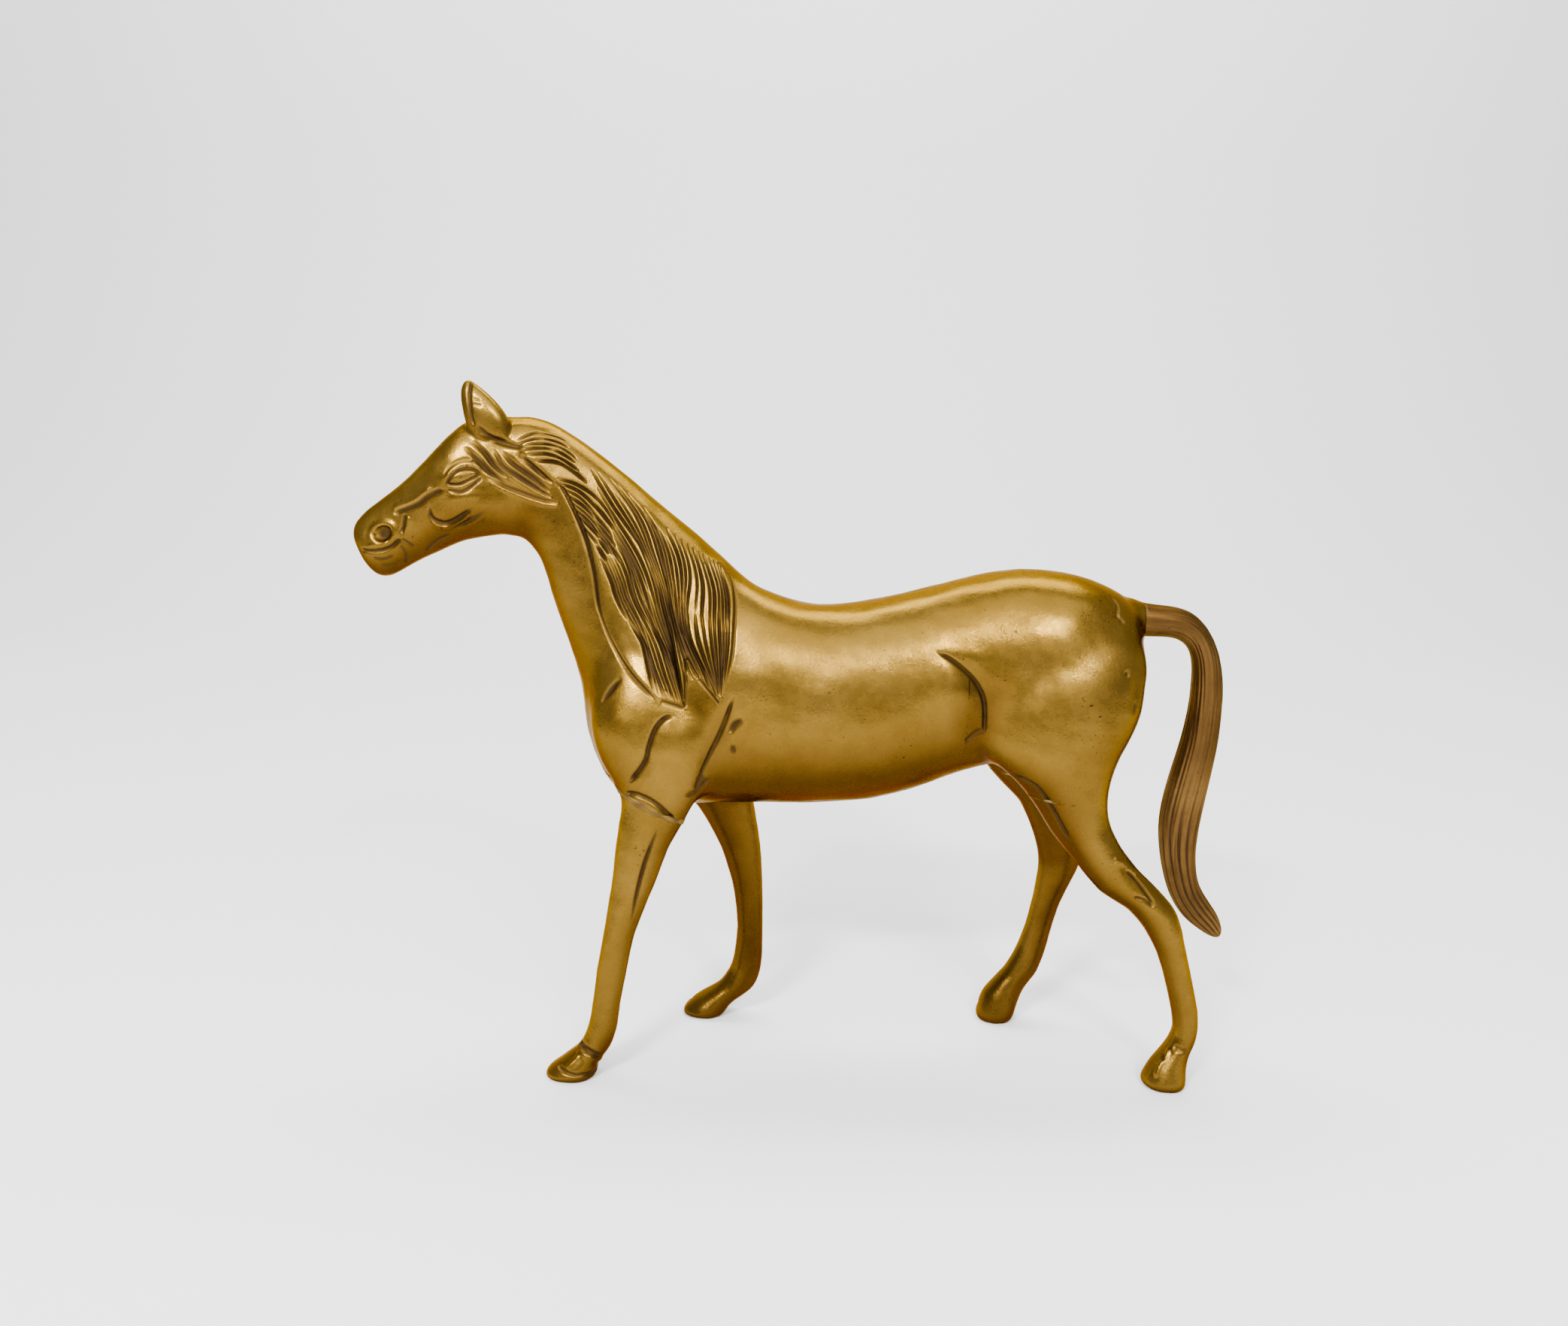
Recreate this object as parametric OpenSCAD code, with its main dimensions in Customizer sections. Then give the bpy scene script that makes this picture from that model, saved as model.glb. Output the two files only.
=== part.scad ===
// Standing horse statue in cast brass.
// Hollow half shells, solid legs, ears and tail, brazed together.
// Millimetres, +Z up, horse faces -X, its left side is -Y.
// The origin is on the table under the middle of the statue.

/* [Size] */
// Height from the table to the ear tips
overall_height = 232.5; // [120:0.5:480]
// Wall of the hollow castings
wall = 3; // [2:0.5:6]
// Widest half width of the barrel
barrel_half_width = 27; // [22:0.5:32]
// Distance of each hoof's middle from the middle plane
hoof_offset = 25.5; // [20:0.5:30]

/* [Details] */
// How far the mane stands off the neck
mane_relief = 1.2; // [0.5:0.1:2.5]
// Thickness of the braze beads
bead_thickness = 0.5; // [0.4:0.1:1.5]
// Width of the braze beads along the limb
bead_width = 2.4; // [1.5:0.1:4]
// Radius of the tenons at the top of the legs
tenon_radius = 4; // [2.5:0.25:5]
// Length of the tenons
tenon_length = 9; // [5:0.5:12]
// Gap round each tenon in its socket
tenon_gap = 0.1; // [0:0.05:0.4]

/* [Hidden] */

design_height = 232.5;
size = overall_height / design_height;
centre_x = 3.5;       // middle of the statue's length
shoulder_x = -5;      // joint between forehand and barrel
flank_x = 59;         // joint between barrel and haunch
far = 400;            // larger than the statue
ear_lead = 3;         // how far the right ear stands ahead of the left
ring_points = 30;     // points round a large section
leg_points = 24;      // points round a leg section
brass = [0.78, 0.62, 0.30];
dark_brass = [0.52, 0.38, 0.20];
braze = [0.66, 0.60, 0.45];

// ---------------------------------------------------------------- shapes
// A station is one section of a casting:
// [upper or front edge x, z, lower or rear edge x, z, middle y, half width,
//  where the section is widest, from 0 at the lower edge to 1 at the upper]

// Cubic curve through b and c
function curve(a, b, c, d, t) =
  0.5 * (2 * b + (c - a) * t + (2 * a - 5 * b + 4 * c - d) * t * t
  + (3 * b - a - 3 * c + d) * t * t * t);

// Stations with extra ones between them
function fill_in(rows, steps) = concat(
  [for (i = [0 : len(rows) - 2]) for (j = [0 : steps - 1])
    curve(rows[max(i - 1, 0)], rows[i], rows[i + 1],
          rows[min(i + 2, len(rows) - 1)], j / steps)],
  [rows[len(rows) - 1]]);

// A rounded square wave, 1 is a circle's
function round_power(v, p) = sign(v) * pow(abs(v), p);

// Points round one section
function section(s, points, squareness) = [
  for (i = [0 : points - 1])
    let (
      a = (i + 0.5) * 360 / points,
      across = round_power(cos(a), 2 / squareness),
      along = round_power(sin(a), 2 / squareness),
      part = s[6] + (along > 0 ? 1 - s[6] : s[6]) * along
    )
    [s[2] + (s[0] - s[2]) * part, s[4] + s[5] * across, s[3] + (s[1] - s[3]) * part]
];

// The stations pulled in by d on every side, or pushed out if d is negative
function inset(rows, d) = [
  for (s = rows)
    let (
      span = norm([s[0] - s[2], s[1] - s[3]]),
      k = d / span
    )
    [s[0] + (s[2] - s[0]) * k, s[1] + (s[3] - s[1]) * k,
     s[2] - (s[2] - s[0]) * k, s[3] - (s[3] - s[1]) * k,
     s[4], s[5] - d, s[6]]
];

// Middle of a station
function middle(s) = [(s[0] + s[2]) / 2, (s[1] + s[3]) / 2];

// Whether the rings have to run the other way round to face outwards
function turned(rows) =
  let (
    step = middle(rows[1]) - middle(rows[0]),
    up = [rows[0][0] - rows[0][2], rows[0][1] - rows[0][3]]
  )
  up[1] * step[0] - up[0] * step[1] < 0;

// A closed skin through the stations
module loft(rows, points, squareness = 2.15) {
  rings = [for (s = rows) section(s, points, squareness)];
  count = len(rings);
  sides = [for (r = [0 : count - 2]) for (i = [0 : points - 1])
    let (j = (i + 1) % points, a = r * points, b = (r + 1) * points)
    each [[a + i, a + j, b + j], [a + i, b + j, b + i]]];
  first = [[for (i = [points - 1 : -1 : 0]) i]];
  last = [[for (i = [0 : points - 1]) (count - 1) * points + i]];
  faces = concat(sides, first, last);
  back_to_front = [for (f = faces) [for (i = [len(f) - 1 : -1 : 0]) f[i]]];
  polyhedron([for (r = rings) each r], turned(rows) ? faces : back_to_front);
}

// The same stations on the other side of the middle plane
function mirrored(rows) = [for (s = rows) [s[0], s[1], s[2], s[3], -s[4], s[5], s[6]]];

// Everything on the left (-Y) or right (+Y) of the middle plane
module left_half() {
  translate([-far, -far, -far]) cube([2 * far, far, 2 * far]);
}

module right_half() {
  translate([-far, 0, -far]) cube([2 * far, far, 2 * far]);
}

module slab_between(x0, x1) {
  translate([x0, -far, -far]) cube([x1 - x0, 2 * far, 2 * far]);
}

// Everything below a plane through (x, z), tilted by angle about Y
module below(x, z, angle) {
  translate([x, 0, z]) rotate([0, angle, 0])
    translate([-far, -far, -2 * far]) cube([2 * far, 2 * far, 2 * far]);
}

// The same plane as a thin slab
module slab_at(x, z, angle, thickness) {
  translate([x, 0, z]) rotate([0, angle, 0])
    translate([-far, -far, -thickness / 2]) cube([2 * far, 2 * far, thickness]);
}

// Evaluates its children as one closed mesh
module solid() {
  scale([size, size, size]) translate([-centre_x, 0, 0]) resize([0, 0, 0])
    union() children();
}

// --------------------------------------------------------------- stations
w = barrel_half_width;
h = hoof_offset;

trunk_rows = [
  [-70.4, 125, -69.6, 116, 0, 4, 0.5],
  [-68.6, 136, -66.8, 107, 0, 11.5, 0.5],
  [-64, 146, -62, 97.5, 0, w - 9, 0.48],
  [-56, 155, -55, 91.3, 0, w - 4.5, 0.48],
  [-45, 163, -44, 89, 0, w - 3, 0.47],
  [-32, 168, -32, 89, 0, w - 3, 0.46],
  [-19, 168.5, -19, 89.5, 0, w - 2.5, 0.44],
  [-7, 163.8, -7, 89.9, 0, w - 1.5, 0.44],
  [5, 160, 5, 89.9, 0, w - 0.5, 0.45],
  [18, 159.9, 18, 90.8, 0, w, 0.45],
  [30, 161.8, 30, 92.2, 0, w, 0.45],
  [43, 164.9, 43, 95.4, 0, w - 0.5, 0.46],
  [55, 168.3, 55, 100, 0, w - 1.8, 0.48],
  [67, 171.2, 67, 104, 0, w - 2.5, 0.5],
  [79, 173, 79, 107.5, 0, w - 2.2, 0.52],
  [91, 172.5, 91, 108.5, 0, w - 2.2, 0.54],
  [102, 170.2, 102, 109.5, 0, w - 4, 0.54],
  [112, 166.2, 111, 111.5, 0, w - 8, 0.54],
  [118, 162, 117, 117.5, 0, w - 13, 0.55],
  [121.5, 156.5, 121, 127.5, 0, w - 20, 0.6]
];

neck_rows = [
  [-10, 163.8, -58, 97.5, 0, 18, 0.45],
  [-20, 173, -66.5, 108.5, 0, 20, 0.42],
  [-32, 183.4, -70.3, 119.5, 0, 18.5, 0.4],
  [-44, 193, -72, 132.5, 0, 15.5, 0.4],
  [-56, 203.2, -77, 146.5, 0, 12.5, 0.42],
  [-67, 211.6, -81.5, 159.5, 0, 10.8, 0.44],
  [-78, 218.7, -85.2, 172.2, 0, 9.8, 0.45],
  [-88, 221.4, -89.8, 179, 0, 9.4, 0.45],
  [-97, 220.5, -97, 186, 0, 8.5, 0.45]
];

head_rows = [
  [-88, 216.5, -86, 188, 0, 7, 0.5],
  [-96, 221, -91, 180.8, 0, 9.3, 0.5],
  [-104.5, 221, -98.5, 181.2, 0, 10.8, 0.5],
  [-112, 217.6, -105.5, 180.2, 0, 11.8, 0.55],
  [-119, 211.2, -112.5, 178.6, 0, 11.4, 0.58],
  [-126, 203.9, -119.3, 175.7, 0, 9.8, 0.56],
  [-133, 197.5, -126, 172.6, 0, 8.4, 0.52],
  [-140, 192.4, -132.5, 168.8, 0, 7.6, 0.48],
  [-145.2, 188.4, -137.5, 166.3, 0, 7.4, 0.46],
  [-148.5, 184.4, -141.5, 166.7, 0, 6.6, 0.46],
  [-149.4, 180.5, -145, 170.5, 0, 4, 0.5]
];

ear_rows = [
  [-106.8, 213.5, -94, 212.5, -6.8, 3.4, 0.45],
  [-108.9, 218.5, -93.8, 218.5, -7, 4, 0.45],
  [-110, 223.5, -97.4, 224, -7.2, 3.6, 0.45],
  [-110.4, 228, -101.6, 228.3, -7.2, 2.7, 0.45],
  [-109.6, 231, -105.4, 231.3, -7, 1.6, 0.45],
  [-108.2, 232.5, -107, 232.5, -6.9, 0.7, 0.5]
];

foreleg_left_rows = [
  [-56, 150, -38, 150, -11, 5, 0.5],
  [-64.5, 134, -29, 136, -13.8, 9.5, 0.5],
  [-66, 118.5, -24, 119.5, -16.5, 11, 0.5],
  [-62, 105.5, -26, 104.5, -18, 9.8, 0.5],
  [-55.4, 95.5, -30, 94.5, -19, 8.4, 0.5],
  [-55.9, 87, -35, 85.5, -20, 7.4, 0.5],
  [-57.1, 77.5, -39.3, 77.5, -20.8, 6.7, 0.5],
  [-58, 67.5, -42.7, 67.5, -21.6, 6.1, 0.5],
  [-59.5, 57.5, -46.6, 57.5, -22.4, 5.7, 0.5],
  [-61, 47.5, -50.4, 47.5, -23.2, 5.2, 0.5],
  [-63, 35.5, -52.7, 35.5, -24, 4.8, 0.5],
  [-64.4, 23.5, -54.8, 23.5, -24.8, 4.9, 0.5],
  [-66, 16, -55.8, 16, 0.3 - h, 5.5, 0.5],
  [-69, 10.5, -58.2, 9.5, 0.2 - h, 6, 0.5],
  [-74, 6.4, -61.6, 5.4, -h, 7, 0.48],
  [-79.6, 2.4, -62, 2.2, -h, 8, 0.46],
  [-81.2, 0, -62.4, 0, -h, 8.4, 0.46]
];

foreleg_right_rows = [
  [-56, 150, -38, 150, 11, 5, 0.5],
  [-64.5, 134, -28, 136, 13.8, 9.5, 0.5],
  [-66, 118.5, -21, 119.5, 16.5, 11, 0.5],
  [-58, 104.5, -16.5, 104.5, 18, 9.8, 0.5],
  [-45, 94.5, -13, 94.5, 19, 8.4, 0.5],
  [-35.5, 86, -11.8, 85.5, 20, 7.4, 0.5],
  [-29.5, 77.5, -10.6, 77.5, 20.8, 6.7, 0.5],
  [-24.4, 67.5, -9, 67.5, 21.6, 6.1, 0.5],
  [-20.9, 57.5, -8.3, 57.5, 22.4, 5.7, 0.5],
  [-18.6, 47.5, -7.8, 47.5, 23.2, 5.2, 0.5],
  [-17.6, 35.5, -7.7, 35.5, 24, 4.8, 0.5],
  [-18.7, 24, -7.7, 24, 24.8, 4.9, 0.5],
  [-20.6, 17.5, -8.6, 16.5, h - 0.3, 5.5, 0.5],
  [-24.8, 11.9, -11.4, 10.5, h - 0.2, 6.1, 0.5],
  [-31, 8, -17.2, 6.3, h, 7, 0.48],
  [-36.8, 3.4, -20.6, 2.8, h, 8, 0.46],
  [-38.8, 0, -22, 0, h, 8.4, 0.46]
];

hindleg_left_rows = [
  [88, 161, 106, 161, -9, 7, 0.5],
  [74, 143.5, 119.6, 147.5, -12.8, 11.5, 0.5],
  [67, 128.5, 119.6, 134.5, -15, 13.4, 0.5],
  [66.5, 117, 117.5, 122.5, -16.3, 13.6, 0.5],
  [70, 108.3, 112, 112, -17.6, 12.4, 0.5],
  [76, 102.8, 108.8, 103, -18.6, 11, 0.5],
  [82.2, 96, 107.5, 95.5, -19.4, 9.6, 0.5],
  [88.6, 86.2, 108.4, 89, -20.2, 8.2, 0.5],
  [96.8, 76.4, 111.9, 82, -21, 7.2, 0.5],
  [105.2, 66.4, 117.6, 74.5, -22, 6.4, 0.5],
  [115, 60.3, 126.4, 66.1, -23, 6, 0.5],
  [120.8, 53.6, 131.8, 59, -23.6, 5.8, 0.5],
  [125.3, 45.5, 134.9, 47.5, -24.2, 5.2, 0.5],
  [128.4, 36, 137.6, 36, -24.8, 4.7, 0.5],
  [131.1, 25.5, 139.9, 25.5, 0.4 - h, 4.8, 0.5],
  [131.8, 18.3, 139.7, 17.8, 0.2 - h, 5.5, 0.5],
  [128.6, 12.5, 137.6, 11.5, 0.1 - h, 5.9, 0.5],
  [124.9, 7.9, 136.6, 7.2, -h, 6.7, 0.48],
  [122.3, 3, 136.6, 3, -h, 7.8, 0.46],
  [121.4, 0, 136.6, 0, -h, 8.2, 0.46]
];

hindleg_right_rows = [
  [88, 161, 106, 161, 9, 7, 0.5],
  [74, 143.5, 119.6, 147.5, 12.8, 11.5, 0.5],
  [66.5, 128.5, 119.6, 134.5, 15, 13.4, 0.5],
  [65.5, 116.5, 118, 122.5, 16.3, 13.6, 0.5],
  [68, 107, 113, 112, 17.6, 12.4, 0.5],
  [73.5, 99.5, 111, 103, 18.6, 11, 0.5],
  [80, 92.5, 110, 95.5, 19.4, 9.6, 0.5],
  [86.6, 86.3, 109.5, 88.5, 20.2, 8.2, 0.5],
  [90.5, 78.5, 110, 80, 21, 7.2, 0.5],
  [93.7, 70, 110.8, 71.5, 22, 6.4, 0.5],
  [95.3, 62, 110.8, 63.5, 23, 6, 0.5],
  [94.8, 54.5, 108.2, 56, 23.6, 5.8, 0.5],
  [93.3, 45.5, 104, 46, 24.2, 5.2, 0.5],
  [91.3, 36.5, 101.6, 36.5, 24.8, 4.7, 0.5],
  [88.4, 27.5, 99.6, 26.5, h - 0.4, 4.8, 0.5],
  [84.5, 20, 97, 18.8, h - 0.2, 5.5, 0.5],
  [80, 14.8, 93, 13.6, h - 0.1, 5.9, 0.5],
  [76.4, 9.8, 90.8, 8.6, h, 6.8, 0.48],
  [74.6, 4, 89.2, 3.6, h, 7.8, 0.46],
  [73.8, 0, 88, 0, h, 8.2, 0.46]
];

tail_rows = [
  [117.5, 163, 118.5, 150, 0, 5.5, 0.5],
  [124, 161.6, 125, 149.9, 0, 5.9, 0.5],
  [131, 160.9, 130.5, 149.9, 0, 6, 0.5],
  [138, 159, 135, 149, 0, 6, 0.5],
  [143.8, 153.9, 138.6, 146.1, 0, 6, 0.5],
  [148.4, 145.2, 140.2, 140.5, 0, 6, 0.5],
  [150.6, 134.5, 140.3, 133.5, 0, 6.1, 0.5],
  [150.8, 124.5, 139.8, 125, 0, 6.3, 0.5],
  [150.3, 114.5, 138, 114.5, 0, 6.6, 0.5],
  [149, 105, 135.6, 105, 0, 6.9, 0.5],
  [147.4, 95.5, 133.3, 95.5, 0, 7, 0.5],
  [146, 86, 131.9, 86, 0, 6.8, 0.5],
  [145, 76.5, 132.3, 77, 0, 6.4, 0.5],
  [145.4, 68.5, 133.9, 68, 0, 6, 0.5],
  [147.2, 61.7, 136.8, 58.7, 0, 5.5, 0.5],
  [150.9, 56, 141.4, 51, 0, 4.9, 0.5],
  [154.2, 51.3, 147, 46.3, 0, 4, 0.5],
  [156.2, 46.7, 152.2, 43, 0, 2.8, 0.5],
  [156.4, 43.6, 155.2, 42, 0, 1.2, 0.5]
];

// Outline of the mane on the side of the neck
mane_outline = [
  [-92, 218.5], [-82, 217], [-70, 210], [-58, 201], [-46, 190.5], [-34, 180.5],
  [-24.5, 173.5], [-17, 166], [-14.5, 155.5], [-15.5, 142.5], [-18, 130.5],
  [-21, 122], [-28, 122], [-34, 126.5], [-42, 125.5], [-48, 135.5], [-56, 149.5],
  [-62, 165.5], [-68, 181.5], [-76, 195.5], [-86, 205.5], [-93, 209.5]
];

// Where each leg is joined on: x, z and tilt of the joint's plane
foreleg_left_joint = [-45, 92.5, 25];
foreleg_right_joint = [-26, 89, 8];
hindleg_left_joint = [93, 97, 5];
hindleg_right_joint = [93, 97, 5];

// ---------------------------------------------------------- building forms
trunk_fine = fill_in(trunk_rows, 2);
neck_fine = fill_in(neck_rows, 2);
head_fine = fill_in(head_rows, 2);

module trunk(d = 0) {
  loft(inset(trunk_fine, d), ring_points, 2.2);
}

module neck(d = 0) {
  loft(inset(neck_fine, d), ring_points, 2.1);
}

module head(d = 0) {
  loft(inset(head_fine, d), ring_points, 2.3);
}

module whole_leg(rows, d = 0) {
  loft(inset(fill_in(rows, 2), d), leg_points, 2.15);
}

module mane() {
  intersection() {
    neck(-mane_relief);
    translate([0, far / 2, 0]) rotate([90, 0, 0])
      linear_extrude(far) polygon(mane_outline);
  }
}

// The hollow inside the trunk, neck and head
module cavity() {
  trunk_inside = [for (s = trunk_fine) if (s[0] > -64 && s[0] < 108) s];
  neck_inside = [for (s = neck_fine) if (s[0] < -18) s];
  head_inside = [for (s = head_fine) if (s[0] > -134) s];
  loft(inset(trunk_inside, wall), 20, 2.2);
  loft(inset(neck_inside, wall), 20, 2.1);
  loft(inset(head_inside, wall), 20, 2.3);
}

// The hollow inside a shoulder or thigh, open to the trunk's hollow
module leg_hollow(rows, lowest) {
  upper_rows = [for (s = rows) if (min(s[1], s[3]) > lowest) s];
  loft(inset(upper_rows, wall + 0.5), 16);
}

// A round tenon standing on a joint's plane
module tenon(joint, side, y, grow = 0) {
  translate([joint[0], side * y, joint[1]]) rotate([0, joint[2], 0])
    translate([0, 0, -3]) cylinder(h = tenon_length + 3 + grow, r = tenon_radius + grow,
      $fn = 32);
}

// The upper part of a leg, above its joint
module leg_root(rows, joint) {
  difference() {
    whole_leg(rows);
    below(joint[0], joint[1], joint[2]);
  }
}

// The bulge of an eye, between its lids
module eye(side) {
  translate([-112.2, side * 10.2, 200.2]) rotate([0, -20, 0])
    scale([5.4, 2.6, 3]) sphere(1, $fn = 20);
}

// The pit of a nostril
module nostril(side) {
  translate([-140.6, side * 8, 181.4]) rotate([0, -25, 0])
    scale([3.2, 2.6, 2.1]) sphere(1, $fn = 16);
}

// The whole hollow body with its shoulders and thighs
module body_shell() {
  difference() {
    union() {
      eye(-1);
      eye(1);
      difference() {
        union() {
          trunk();
          neck();
          head();
          mane();
        }
        cavity();
      }
      leg_root(foreleg_left_rows, foreleg_left_joint);
      leg_root(foreleg_right_rows, foreleg_right_joint);
      leg_root(hindleg_left_rows, hindleg_left_joint);
      leg_root(hindleg_right_rows, hindleg_right_joint);
    }
    nostril(-1);
    nostril(1);
    leg_hollow(foreleg_left_rows, 103);
    leg_hollow(foreleg_right_rows, 103);
    leg_hollow(hindleg_left_rows, 108);
    leg_hollow(hindleg_right_rows, 106.5);
    tenon(foreleg_left_joint, -1, 19.6, tenon_gap);
    tenon(foreleg_right_joint, 1, 19.6, tenon_gap);
    tenon(hindleg_left_joint, -1, 19.2, tenon_gap);
    tenon(hindleg_right_joint, 1, 19.2, tenon_gap);
    tail_tenon(tenon_gap);
    tail_form();
    ear_form(ear_rows);
    ear_form(right_ear_rows());
  }
}

// ------------------------------------------------------------------ shells
module shell_part(x0, x1) {
  intersection() {
    body_shell();
    slab_between(x0, x1);
    children();
  }
}

module forehand_left() {
  color(brass) solid() shell_part(-far, shoulder_x) left_half();
}

module forehand_right() {
  color(brass) solid() shell_part(-far, shoulder_x) right_half();
}

module barrel_left() {
  color(brass) solid() shell_part(shoulder_x, flank_x) left_half();
}

module barrel_right() {
  color(brass) solid() shell_part(shoulder_x, flank_x) right_half();
}

module haunch_left() {
  color(brass) solid() shell_part(flank_x, far) left_half();
}

module haunch_right() {
  color(brass) solid() shell_part(flank_x, far) right_half();
}

// -------------------------------------------------------------------- ears
// The right ear stands a little further forward than the left one
function right_ear_rows() = [
  for (s = mirrored(ear_rows))
    [s[0] - ear_lead, s[1] - 0.4, s[2] - ear_lead, s[3] - 0.4, s[4], s[5], s[6]]
];

module ear_form(rows) {
  loft(fill_in(rows, 2), 20, 2.1);
}

module ear_left() {
  color(brass) solid() ear_form(ear_rows);
}

module ear_right() {
  color(brass) solid() ear_form(right_ear_rows());
}

// -------------------------------------------------------------------- legs
module leg(rows, joint, side, y) {
  difference() {
    intersection() {
      whole_leg(rows);
      below(joint[0], joint[1], joint[2]);
    }
    trunk();
  }
  tenon(joint, side, y);
}

module foreleg_left() {
  color(brass) solid() leg(foreleg_left_rows, foreleg_left_joint, -1, 19.6);
}

module foreleg_right() {
  color(brass) solid() leg(foreleg_right_rows, foreleg_right_joint, 1, 19.6);
}

module hindleg_left() {
  color(brass) solid() leg(hindleg_left_rows, hindleg_left_joint, -1, 19.2);
}

module hindleg_right() {
  color(brass) solid() leg(hindleg_right_rows, hindleg_right_joint, 1, 19.2);
}

// -------------------------------------------------------------------- tail
module tail_form() {
  loft(fill_in(tail_rows, 2), 20, 2.1);
}

// The tenon that goes into the croup
module tail_tenon(grow = 0) {
  translate([106 - grow, 0, 158]) rotate([0, 97, 0])
    cylinder(h = 15 + grow, r = 3 + grow, $fn = 24);
}

module tail() {
  color(dark_brass) solid() {
    tail_form();
    tail_tenon();
  }
}

// ------------------------------------------------------------------- beads
// A bead of braze round a leg at its joint
module leg_bead(rows, joint) {
  difference() {
    intersection() {
      whole_leg(rows, -bead_thickness);
      slab_at(joint[0], joint[1], joint[2], bead_width);
    }
    whole_leg(rows);
    trunk();
  }
}

module foreleg_bead_left() {
  color(braze) solid() leg_bead(foreleg_left_rows, foreleg_left_joint);
}

module foreleg_bead_right() {
  color(braze) solid() leg_bead(foreleg_right_rows, foreleg_right_joint);
}

module hindleg_bead_left() {
  color(braze) solid() leg_bead(hindleg_left_rows, hindleg_left_joint);
}

module hindleg_bead_right() {
  color(braze) solid() leg_bead(hindleg_right_rows, hindleg_right_joint);
}

// The bead round the root of the tail
module tail_bead() {
  color(braze) solid() difference() {
    intersection() {
      loft(inset(fill_in(tail_rows, 2), -bead_thickness), 20, 2.1);
      slab_between(119, 123.5);
    }
    tail_form();
    trunk();
    whole_leg(hindleg_left_rows);
    whole_leg(hindleg_right_rows);
  }
}

forehand_left();
forehand_right();
barrel_left();
barrel_right();
haunch_left();
haunch_right();
ear_left();
ear_right();
foreleg_left();
foreleg_right();
hindleg_left();
hindleg_right();
tail();
foreleg_bead_left();
foreleg_bead_right();
hindleg_bead_left();
hindleg_bead_right();
tail_bead();
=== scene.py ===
import math

import bmesh
import bpy
import numpy as np
import openvdb as vdb
from mathutils import Matrix, Vector


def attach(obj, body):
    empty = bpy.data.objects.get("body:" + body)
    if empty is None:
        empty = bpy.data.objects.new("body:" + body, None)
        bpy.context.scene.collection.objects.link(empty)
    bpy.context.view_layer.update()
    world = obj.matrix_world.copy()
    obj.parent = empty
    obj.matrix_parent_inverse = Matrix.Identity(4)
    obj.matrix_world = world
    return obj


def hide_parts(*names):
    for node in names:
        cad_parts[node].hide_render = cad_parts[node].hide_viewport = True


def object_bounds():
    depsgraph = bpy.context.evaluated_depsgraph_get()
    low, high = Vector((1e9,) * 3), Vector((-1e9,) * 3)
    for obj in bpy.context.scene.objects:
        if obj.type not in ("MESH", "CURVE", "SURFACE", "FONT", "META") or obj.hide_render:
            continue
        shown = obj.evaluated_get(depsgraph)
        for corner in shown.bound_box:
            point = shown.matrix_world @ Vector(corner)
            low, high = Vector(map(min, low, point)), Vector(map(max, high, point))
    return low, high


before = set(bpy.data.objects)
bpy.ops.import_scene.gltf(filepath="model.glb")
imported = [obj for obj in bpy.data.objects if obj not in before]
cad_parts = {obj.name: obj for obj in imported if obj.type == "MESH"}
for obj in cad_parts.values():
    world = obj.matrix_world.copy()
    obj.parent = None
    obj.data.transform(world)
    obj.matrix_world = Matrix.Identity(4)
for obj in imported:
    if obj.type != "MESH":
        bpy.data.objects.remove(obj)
CAD_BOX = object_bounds()

MM = 0.001
VOXEL = 0.75
MARGIN = 11.0
# The widest hollows that are filled: near fine shapes, and on the torso
NARROW_GAP = 0.7
WIDE_GAP = 5.0
# How softly the ears and the tail's root run into the body
EAR_FILLET = 2.2
TAIL_FLARE = 5.0
HALF_WIDTH = 36.0
SHOULDER_X = -8.5
FLANK_X = 55.5
LEFT = -1
RIGHT = 1
BOTH = (LEFT, RIGHT)
RANDOM = np.random.default_rng(7)

SHELLS = [
    "forehand_left", "forehand_right",
    "barrel_left", "barrel_right",
    "haunch_left", "haunch_right",
]
LEGS = ["foreleg_left", "foreleg_right", "hindleg_left", "hindleg_right"]
EARS = ["ear_left", "ear_right"]

# Where each limb is brazed on: a point (x, z) on the joint plane and its tilt
LEG_JOINTS = {
    "foreleg_left": (-48.5, 92.5, 25.0),
    "foreleg_right": (-29.5, 89.0, 8.0),
    "hindleg_left": (89.5, 97.0, 5.0),
    "hindleg_right": (89.5, 97.0, 5.0),
}
TAIL_JOINT_X = 118.2
TAIL_BEAD_X = 118.6
EAR_JOINT = ((-103.0, 0.0, 216.2), (-0.2495, 0.0, 0.9684))


# ---- small helpers
def ramp(value, start, end):
    """0 before start, 1 after end, smooth between them."""
    t = np.clip((value - start) / (end - start), 0.0, 1.0)
    return t * t * (3.0 - 2.0 * t)


def curve(points, spacing=0.6):
    """A smooth line through a few points, as closely spaced points."""
    p = np.array(points, float)
    p = np.vstack([2 * p[0] - p[1], p, 2 * p[-1] - p[-2]])
    out = []
    for a, b, c, d in zip(p[:-3], p[1:-2], p[2:-1], p[3:]):
        count = max(2, int(np.linalg.norm(c - b) / spacing))
        for t in np.arange(count) / count:
            out.append(
                0.5 * (2 * b + (c - a) * t + (2 * a - 5 * b + 4 * c - d) * t**2
                       + (3 * b - a - 3 * c + d) * t**3)
            )
    out.append(p[-2])
    return np.array(out)


def between(first, second, share, count=8):
    """A line part of the way between two lines."""
    a = curve(first, 0.5)
    b = curve(second, 0.5)
    pick_a = a[np.linspace(0, len(a) - 1, count).round().astype(int)]
    pick_b = b[np.linspace(0, len(b) - 1, count).round().astype(int)]
    return pick_a * (1 - share) + pick_b * share


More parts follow.
